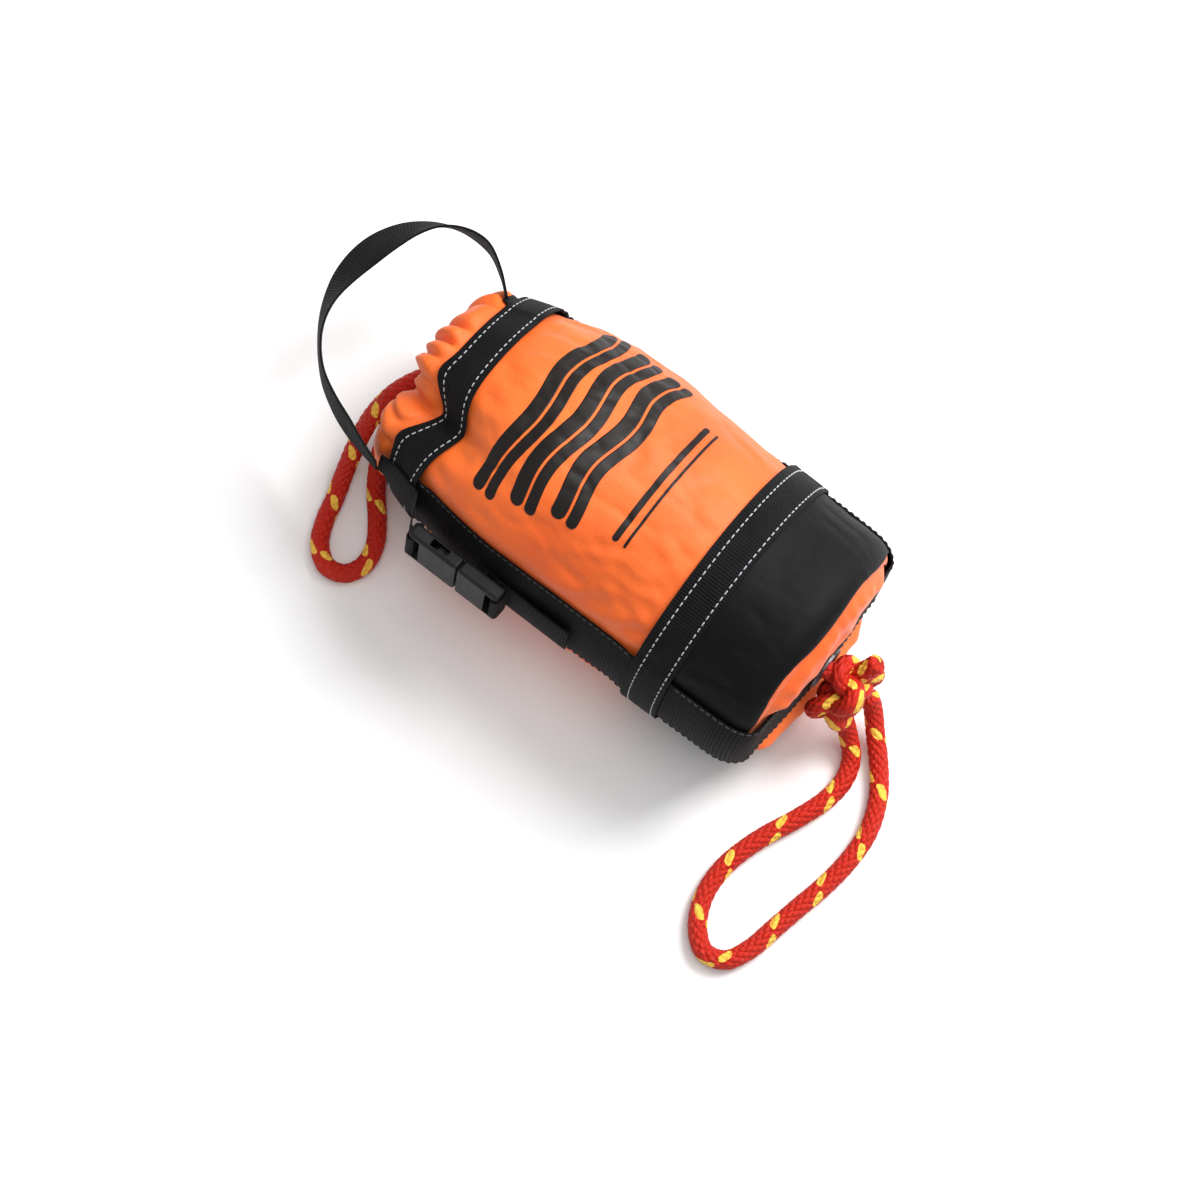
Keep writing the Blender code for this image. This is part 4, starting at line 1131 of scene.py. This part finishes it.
def make_straps(material):
    table = np.array(CARRY_ROUTE, dtype=float)
    centre = route(table[:, :3] * MM, 2.2 * MM)
    # Both ends reach in under their sewn roots
    ends = [centre[k] + ROOT_REACH * unit(centre[k] - centre[inward])
            for k, inward in ((0, 1), (-1, -2))]
    centre = np.concatenate([ends[:1], centre, ends[1:]])
    share = np.linspace(0, 1, len(centre))
    places = arc_length(table[:, :3])
    lean = np.radians(np.interp(share, places / places[-1], table[:, 3]))
    lean = np.convolve(np.pad(lean, LEAN_SMOOTHING // 2, mode="edge"),
                       np.ones(LEAN_SMOOTHING) / LEAN_SMOOTHING, mode="valid")
    ahead = unit(np.gradient(centre, axis=0))
    side = unit(np.cross((0, 0, 1.0), ahead))
    upright = np.cross(ahead, side)
    across = upright * np.cos(lean)[:, None] + side * np.sin(lean)[:, None]
    # A little curl and unevenness, as webbing keeps from being handled
    centre = centre + side * (0.5 * MM * np.sin(share * 19) * np.sin(share * math.pi))[:, None]
    taper = FOLDED + (1 - FOLDED) * smoothstep(np.minimum(share, 1 - share), 0.01, 0.13)
    strap = add_piece("carry_strap_web", ribbon(centre, across, taper), material,
                      body=None, replaces=["carry_strap"])
    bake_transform(strap)
    make_roots(material)


def make_roots(material):
    far = []
    for x in np.linspace(MOUTH_X - 4 * MM, MOUTH_X + 15.5 * MM, 14):
        forward = 1 - smoothstep(x, MOUTH_X - 4 * MM, MOUTH_X + 2 * MM)
        radius = face_radius(x, CARRY_FAR_ANGLE) + 0.3 * MM + WEBBING / 2 + 0.4 * MM * forward
        far.append((x, CARRY_FAR_ANGLE, radius))
    laid_web("strap_root_far_web", far, material, "strap_root_far")

    bar = BUCKLE_X - GAP - WEBBING / 2
    rise = MOUTH_X + BAND_WIDTH + 2 * MM
    near = []
    for x in np.linspace(MOUTH_X - 4 * MM, rise, 12):
        near.append((x, CARRY_NEAR_ANGLE, face_radius(x, CARRY_NEAR_ANGLE) + BAND_OUT + 0.5 * MM))
    low_radius = near[-1][2]
    goal = BUCKLE_RADIUS + BUCKLE_HEIGHT / 2
    for k in np.linspace(0, 1, 12)[1:]:
        ease = smoothstep(k, 0, 1)
        near.append((rise + (bar - rise) * k,
                     CARRY_NEAR_ANGLE + (BUCKLE_ANGLE - CARRY_NEAR_ANGLE) * ease,
                     low_radius + (goal - low_radius) * ease))
    laid_web("strap_riser_web", near, material, "strap_riser_near")

    start = BUCKLE_X + SOCKET_LENGTH + 12 * MM
    tab = [(x, BUCKLE_ANGLE, BELLY_RADIUS + STRAP_OUT + GAP + WEBBING / 2)
           for x in np.linspace(start, TAB_END, 26)]
    laid_web("plug_tab_web", tab, material, "plug_tab")

    # Loops of webbing round the buckle's two end bars
    wrap("riser_wrap", BUCKLE_X + BAR / 2, "bag", material)
    wrap("plug_wrap", PLUG_END - BAR / 2, "plug", material)


def wrap(name, x, body, material):
    """Webbing turned once round a bar of the buckle."""
    outward = np.array((0, math.cos(BUCKLE_ANGLE), math.sin(BUCKLE_ANGLE)))
    across = np.array((0, math.sin(BUCKLE_ANGLE), -math.cos(BUCKLE_ANGLE)))
    middle = np.array((0, 0, AXIS_HEIGHT)) + outward * (BUCKLE_RADIUS + BUCKLE_HEIGHT / 2)
    turn = around(32)[:, None]
    c, s = np.cos(turn), np.sin(turn)
    square = (np.abs(c) ** 4 + np.abs(s) ** 4) ** -0.25
    reach_x, reach_up = BAR / 2 + WEBBING * 0.6, BUCKLE_HEIGHT / 2 + WEBBING * 0.55
    loop = (np.array((x, 0, 0)) + middle + reach_x * c * square * np.array((1, 0, 0))
            + reach_up * s * square * outward)
    ahead = unit(np.roll(loop, -1, axis=0) - np.roll(loop, 1, axis=0))
    outline = webbing_section(STRAP_WIDTH - 1.2 * MM, WEBBING * 0.8)
    middle = loop[None] + outline[:, 0][:, None, None] * across
    crown = outline[:, 1][:, None, None] * np.cross(ahead, across)[None]
    along = np.arange(len(loop)) * 0.9 * MM
    uv = joined(*spread(outline[:, 0], along)[::-1])
    add_piece(name, slab(middle + crown, middle - crown, uv, True), material, body=body)


# ---------------------------------------------------------------- hem, drawcord and rope inside

HEM_RADIUS = 4.2 * MM
HEM_RING = THROAT_RADIUS - 1.9 * MM
HEM_X = MOUTH_X - GATHER_DEPTH + 6.1 * MM
MOUTH_AXIS = AXIS_HEIGHT - MOUTH_SAG
LOCK_X = -127 * MM
LOCK_Y = -6 * MM
TAIL_SPREAD = 1.9 * MM
TAIL_END = 7.2 * MM
CORD_EXIT = math.atan2(-math.sqrt(HEM_RING ** 2 - LOCK_Y ** 2), LOCK_Y)
BUTTONHOLE = 0.2              # half its length, in radians round the throat


def make_hem(material, thread):
    """The drawcord's channel: a puckered roll of cloth, open only at its buttonhole."""
    t, a = spread(np.linspace(0, math.tau, 26), around(300))
    gap = np.abs(angle_gap(a, CORD_EXIT))
    pucker = np.abs(np.sin(a * PLEATS + 1.2 * np.sin(3 * a))) ** 0.8 * 0.9 * MM
    pucker += 0.35 * MM * np.sin(a * 57 + 2 * np.sin(4 * a) + 2 * t)
    slot = smoothstep(gap, BUTTONHOLE * 0.6, BUTTONHOLE)
    pinch = 1 - 0.75 * (1 - slot) * hump(np.abs(angle_gap(t, math.pi)), 0, 0.55)
    tube = (HEM_RADIUS + FABRIC * 0.5 - 0.3 * MM + pucker * 0.9 * slot) * pinch
    ring = HEM_RING + 0.5 * MM * np.sin(5 * a + 1)
    outer, inner = (
        joined(HEM_X + depth * np.cos(t), (ring + depth * np.sin(t)) * np.cos(a),
               MOUTH_AXIS + (ring + depth * np.sin(t)) * np.sin(a))
        for depth in (tube, np.maximum(tube - FABRIC, 0.5 * MM)))
    uv = joined(a * HEM_RING, t * HEM_RADIUS)
    add_piece("mouth_hem_cloth", slab(outer, inner, uv, True), material, replaces=["mouth_hem"])
    # Buttonhole: a close ring of thread round the place where the cords come out
    batch = Batch()
    turn = np.linspace(0, math.tau, 60)
    where = CORD_EXIT + 1.15 * BUTTONHOLE * np.cos(turn)
    radius = HEM_RING + 1.9 * MM * np.sin(turn)
    path = joined(HEM_X - HEM_RADIUS - 0.25 * MM, radius * np.cos(where),
                  MOUTH_AXIS + radius * np.sin(where))
    batch.add(*rope_tube(path, 1.2 * MM, sides=10, relief=0.0, closed_ends=False))
    # Stitch row that closes the channel, on the gathers just outside it
    a = np.linspace(0, math.tau, 500)
    points, normals = surface_normals(-0.80 * GATHER_RUN, a, 0.05 * MM)
    stitch_line(batch, points, normals)
    batch.piece("hem_stitching", thread)


def small_cord(name, points, material, replaces=()):
    path = route(np.array(points), 0.7 * MM)
    obj = add_piece(name, rope_tube(path, DRAWCORD, sides=16, relief=0.03), material,
                    replaces=replaces)
    weld(obj)
    return obj, path


def make_drawcord(material):
    def on_ring(angle, forward):
        return (HEM_X - forward, HEM_RING * math.cos(angle),
                MOUTH_AXIS + HEM_RING * math.sin(angle))

    top = MOUTH_AXIS - math.sqrt(HEM_RING ** 2 - LOCK_Y ** 2)
    first = math.radians(17)
    ring = [on_ring(CORD_EXIT + first + (math.tau - 2 * first) * k / 22, 0) for k in range(23)]
    knot = make_end_knot(material)
    for k, side in enumerate((1, -1)):
        y = LOCK_Y + side * TAIL_SPREAD
        turn = side * TAIL_SPREAD / HEM_RING
        tail = [on_ring(CORD_EXIT + turn * 2.1, 0.6 * MM),
                on_ring(CORD_EXIT + turn * 1.3, 2.6 * MM),
                (LOCK_X + 7 * MM, y, top + 1.4 * MM), (LOCK_X + 2.5 * MM, y, top + 1 * MM),
                (LOCK_X, y, top - 3.5 * MM), (LOCK_X, y, 0.6 * top), (LOCK_X, y, 0.35 * top),
                (LOCK_X, LOCK_Y + side * 1.55 * MM, TAIL_END - 1.5 * MM)]
        tail_obj, path = small_cord("drawcord_tail_" + "ab"[k], tail, material,
                                    ["drawcord"] if k == 0 else [])
    small_cord("drawcord_ring", ring, material)


def make_end_knot(material):
    """Both tails tied together below the lock."""
    batch = Batch()
    t = np.linspace(0, math.tau, 90)
    size = 0.62 * MM
    curve = joined(np.sin(t) + 2 * np.sin(2 * t), np.cos(t) - 2 * np.cos(2 * t),
                   -np.sin(3 * t) * MM / size)
    path = box_centre("drawcord_end_knot") + curve * size
    batch.add(*rope_tube(resample(path, 0.5 * MM), 2.6 * MM, sides=14, relief=0.03,
                         closed_ends=False))
    obj = batch.piece("drawcord_end_knot_tied", material, replaces=["drawcord_end_knot"])
    weld(obj)
    return obj


def make_rope_pack(material):
    """The stuffed rope: layers of turns against the bag's wall and across its mouth side."""
    start, end = low("rope_pack").x + ROPE / 2, high("rope_pack").x - ROPE / 2
    wall = 3.0 * MM + ROPE / 2
    turns = 13
    t = np.linspace(0, turns * math.tau, turns * 44)
    x = start + (end - start) * t / t[-1]
    r = body_radius(x) - wall - 0.8 * MM
    r = r - np.abs(1.6 * MM * np.sin(3.3 * t) * np.sin(0.7 * t))
    y, z = r * np.cos(t), axis_height(x) + r * np.sin(t)
    z = np.maximum(z, floor_height(x) + wall)
    batch = Batch()
    batch.add(*rope_tube(resample(joined(x, y, z), 3 * MM), ROPE, sides=14))
    # Loose figure-of-eight turns across the mouth side
    t = np.linspace(0, 9 * math.tau, 9 * 50)
    reach = body_radius(start) - wall - ROPE - 2 * MM
    r = reach * (0.62 + 0.36 * np.sin(0.37 * t + 0.5))
    y = r * np.cos(t * 0.93 + 0.4 * np.sin(0.31 * t))
    z = axis_height(start) + 0.9 * r * np.sin(t * 1.02)
    x = start + 2 * MM + 7 * MM * (1 + np.sin(0.61 * t))
    z = np.maximum(z, floor_height(x) + wall + ROPE)
    batch.add(*rope_tube(resample(joined(x, y, z), 3 * MM), ROPE, sides=14))
    weld(batch.piece("rope_pack_turns", material, replaces=["rope_pack"]))


# ---------------------------------------------------------------- print

def wave_stripe(batch, x0, width, a0, a1, swell, phase):
    """A bold wavy stripe with round ends, across the bag's top face."""
    cap = 0.5 * width / (abs(a1 - a0) * BELLY_RADIUS)
    rounding = cap * (1 - np.cos(np.linspace(0, math.pi / 2, 12, endpoint=False)))
    run = np.concatenate([rounding, np.linspace(cap, 1 - cap, 140), 1 - rounding[::-1]])
    v, u = spread(np.linspace(-0.5, 0.5, 12), run)
    from_end = np.minimum(np.minimum(u, 1 - u) / cap, 1)
    half = np.sqrt(1 - (1 - from_end) ** 2)
    x = x0 + swell * np.sin(u * math.tau * 2.0 + phase) + v * width * (0.08 + 0.92 * half)
    batch.add(*cloth(x - MOUTH_X, a0 + (a1 - a0) * u, 0.22 * MM, -0.1 * MM, False))


WAVES = (-55.5 * MM, -37 * MM, -18.5 * MM)            # x of each pair of wavy stripes
WAVE_PAIR = ((-4.2 * MM, 7.4 * MM), (3.7 * MM, 5.6 * MM))      # offset and width of its two
LINES = ((7 * MM, 3.2 * MM), (12.5 * MM, 1.4 * MM))   # x and width of the straight lines


def make_print(material):
    batch = Batch()
    for k, x in enumerate(WAVES):
        a0, a1 = math.radians(24) + 0.06 * k, math.radians(130) - 0.10 * k
        for offset, width in WAVE_PAIR:
            wave_stripe(batch, x + offset, width, a0, a1, 1.9 * MM, 0.9 * k)
    for x, width in LINES:
        wave_stripe(batch, x, width, math.radians(48), math.radians(112), 0.0, 0)
    batch.piece("wave_print", material)


# ---------------------------------------------------------------- carried-over nodes

PLASTIC_NODES = ("buckle_socket", "buckle_plug", "buckle_arm_upper", "buckle_arm_lower",
                 "cord_lock_body", "cord_lock_plunger")
METAL_NODES = ("cord_lock_spring", "base_grommet", "grommet_washer")


def finish_nodes():
    for material, names in ((plastic_material(), PLASTIC_NODES), (metal_material(), METAL_NODES),
                            (foam_material(), ("float_foam",))):
        for name in names:
            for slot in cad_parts[name].material_slots:
                slot.material = material


# ---------------------------------------------------------------- floor and light

FLOOR_HALF = 6.0
FLOOR_DROP = 0.2 * MM
WORLD_STRENGTH = 0.34
LIGHTS = (                    # name, place, size, power
    ("key", (0.35, 1.0, 1.25), 0.8, 33), ("fill", (-0.9, -0.9, 0.9), 1.2, 1),
    ("top", (0.2, 0.1, 1.8), 1.2, 12))


def make_stage():
    scene = bpy.context.scene
    scene.view_settings.view_transform = "Standard"
    nodes = Nodes("floor", (0.93, 0.93, 0.93), 0.9)
    mesh = bpy.data.meshes.new("floor")
    corners = [(x * FLOOR_HALF, y * FLOOR_HALF, 0) for x, y in ((-1, -1), (1, -1), (1, 1), (-1, 1))]
    mesh.from_pydata(corners, [], [(0, 1, 2, 3)])
    mesh.materials.append(nodes.material)
    floor = add_object("floor", mesh)
    floor.location.z = -FLOOR_DROP
    world = bpy.data.worlds.new("studio")
    world.use_nodes = True
    background = world.node_tree.nodes["Background"]
    background.inputs["Color"].default_value = (1, 1, 1, 1)
    background.inputs["Strength"].default_value = WORLD_STRENGTH
    scene.world = world
    for name, place, size, power in LIGHTS:
        data = bpy.data.lights.new(name, "AREA")
        data.size = size
        data.energy = power
        light = add_object(name, data)
        light.location = place
        light.rotation_euler = Vector(place).to_track_quat("Z", "Y").to_euler()


def main():
    orange = woven("nylon_orange", ORANGES, 0.52, sheen=0.1, specular=0.4)
    black = woven("nylon_black", BLACKS, 0.62, sheen=0.0, specular=0.16)
    web = webbing_material("webbing_black")
    cord = webbing_material("cord_black")
    thread = thread_material("thread_grey", (0.42, 0.43, 0.44))
    black_thread = thread_material("thread_black", grey(0.02))
    orange_thread = thread_material("thread_orange", (0.85, 0.2, 0.03))
    make_bag(orange, black, web)
    make_seams(thread)
    make_base_disc(orange)
    strap_seams = Batch()
    make_side_strap(web, strap_seams)
    strap_seams.piece("strap_stitching", black_thread)
    make_straps(web)
    make_hem(orange, orange_thread)
    make_drawcord(cord)
    make_rope_pack(ROPE_LOOK)
    make_print(ink_material())
    finish_nodes()
    make_stage()


main()
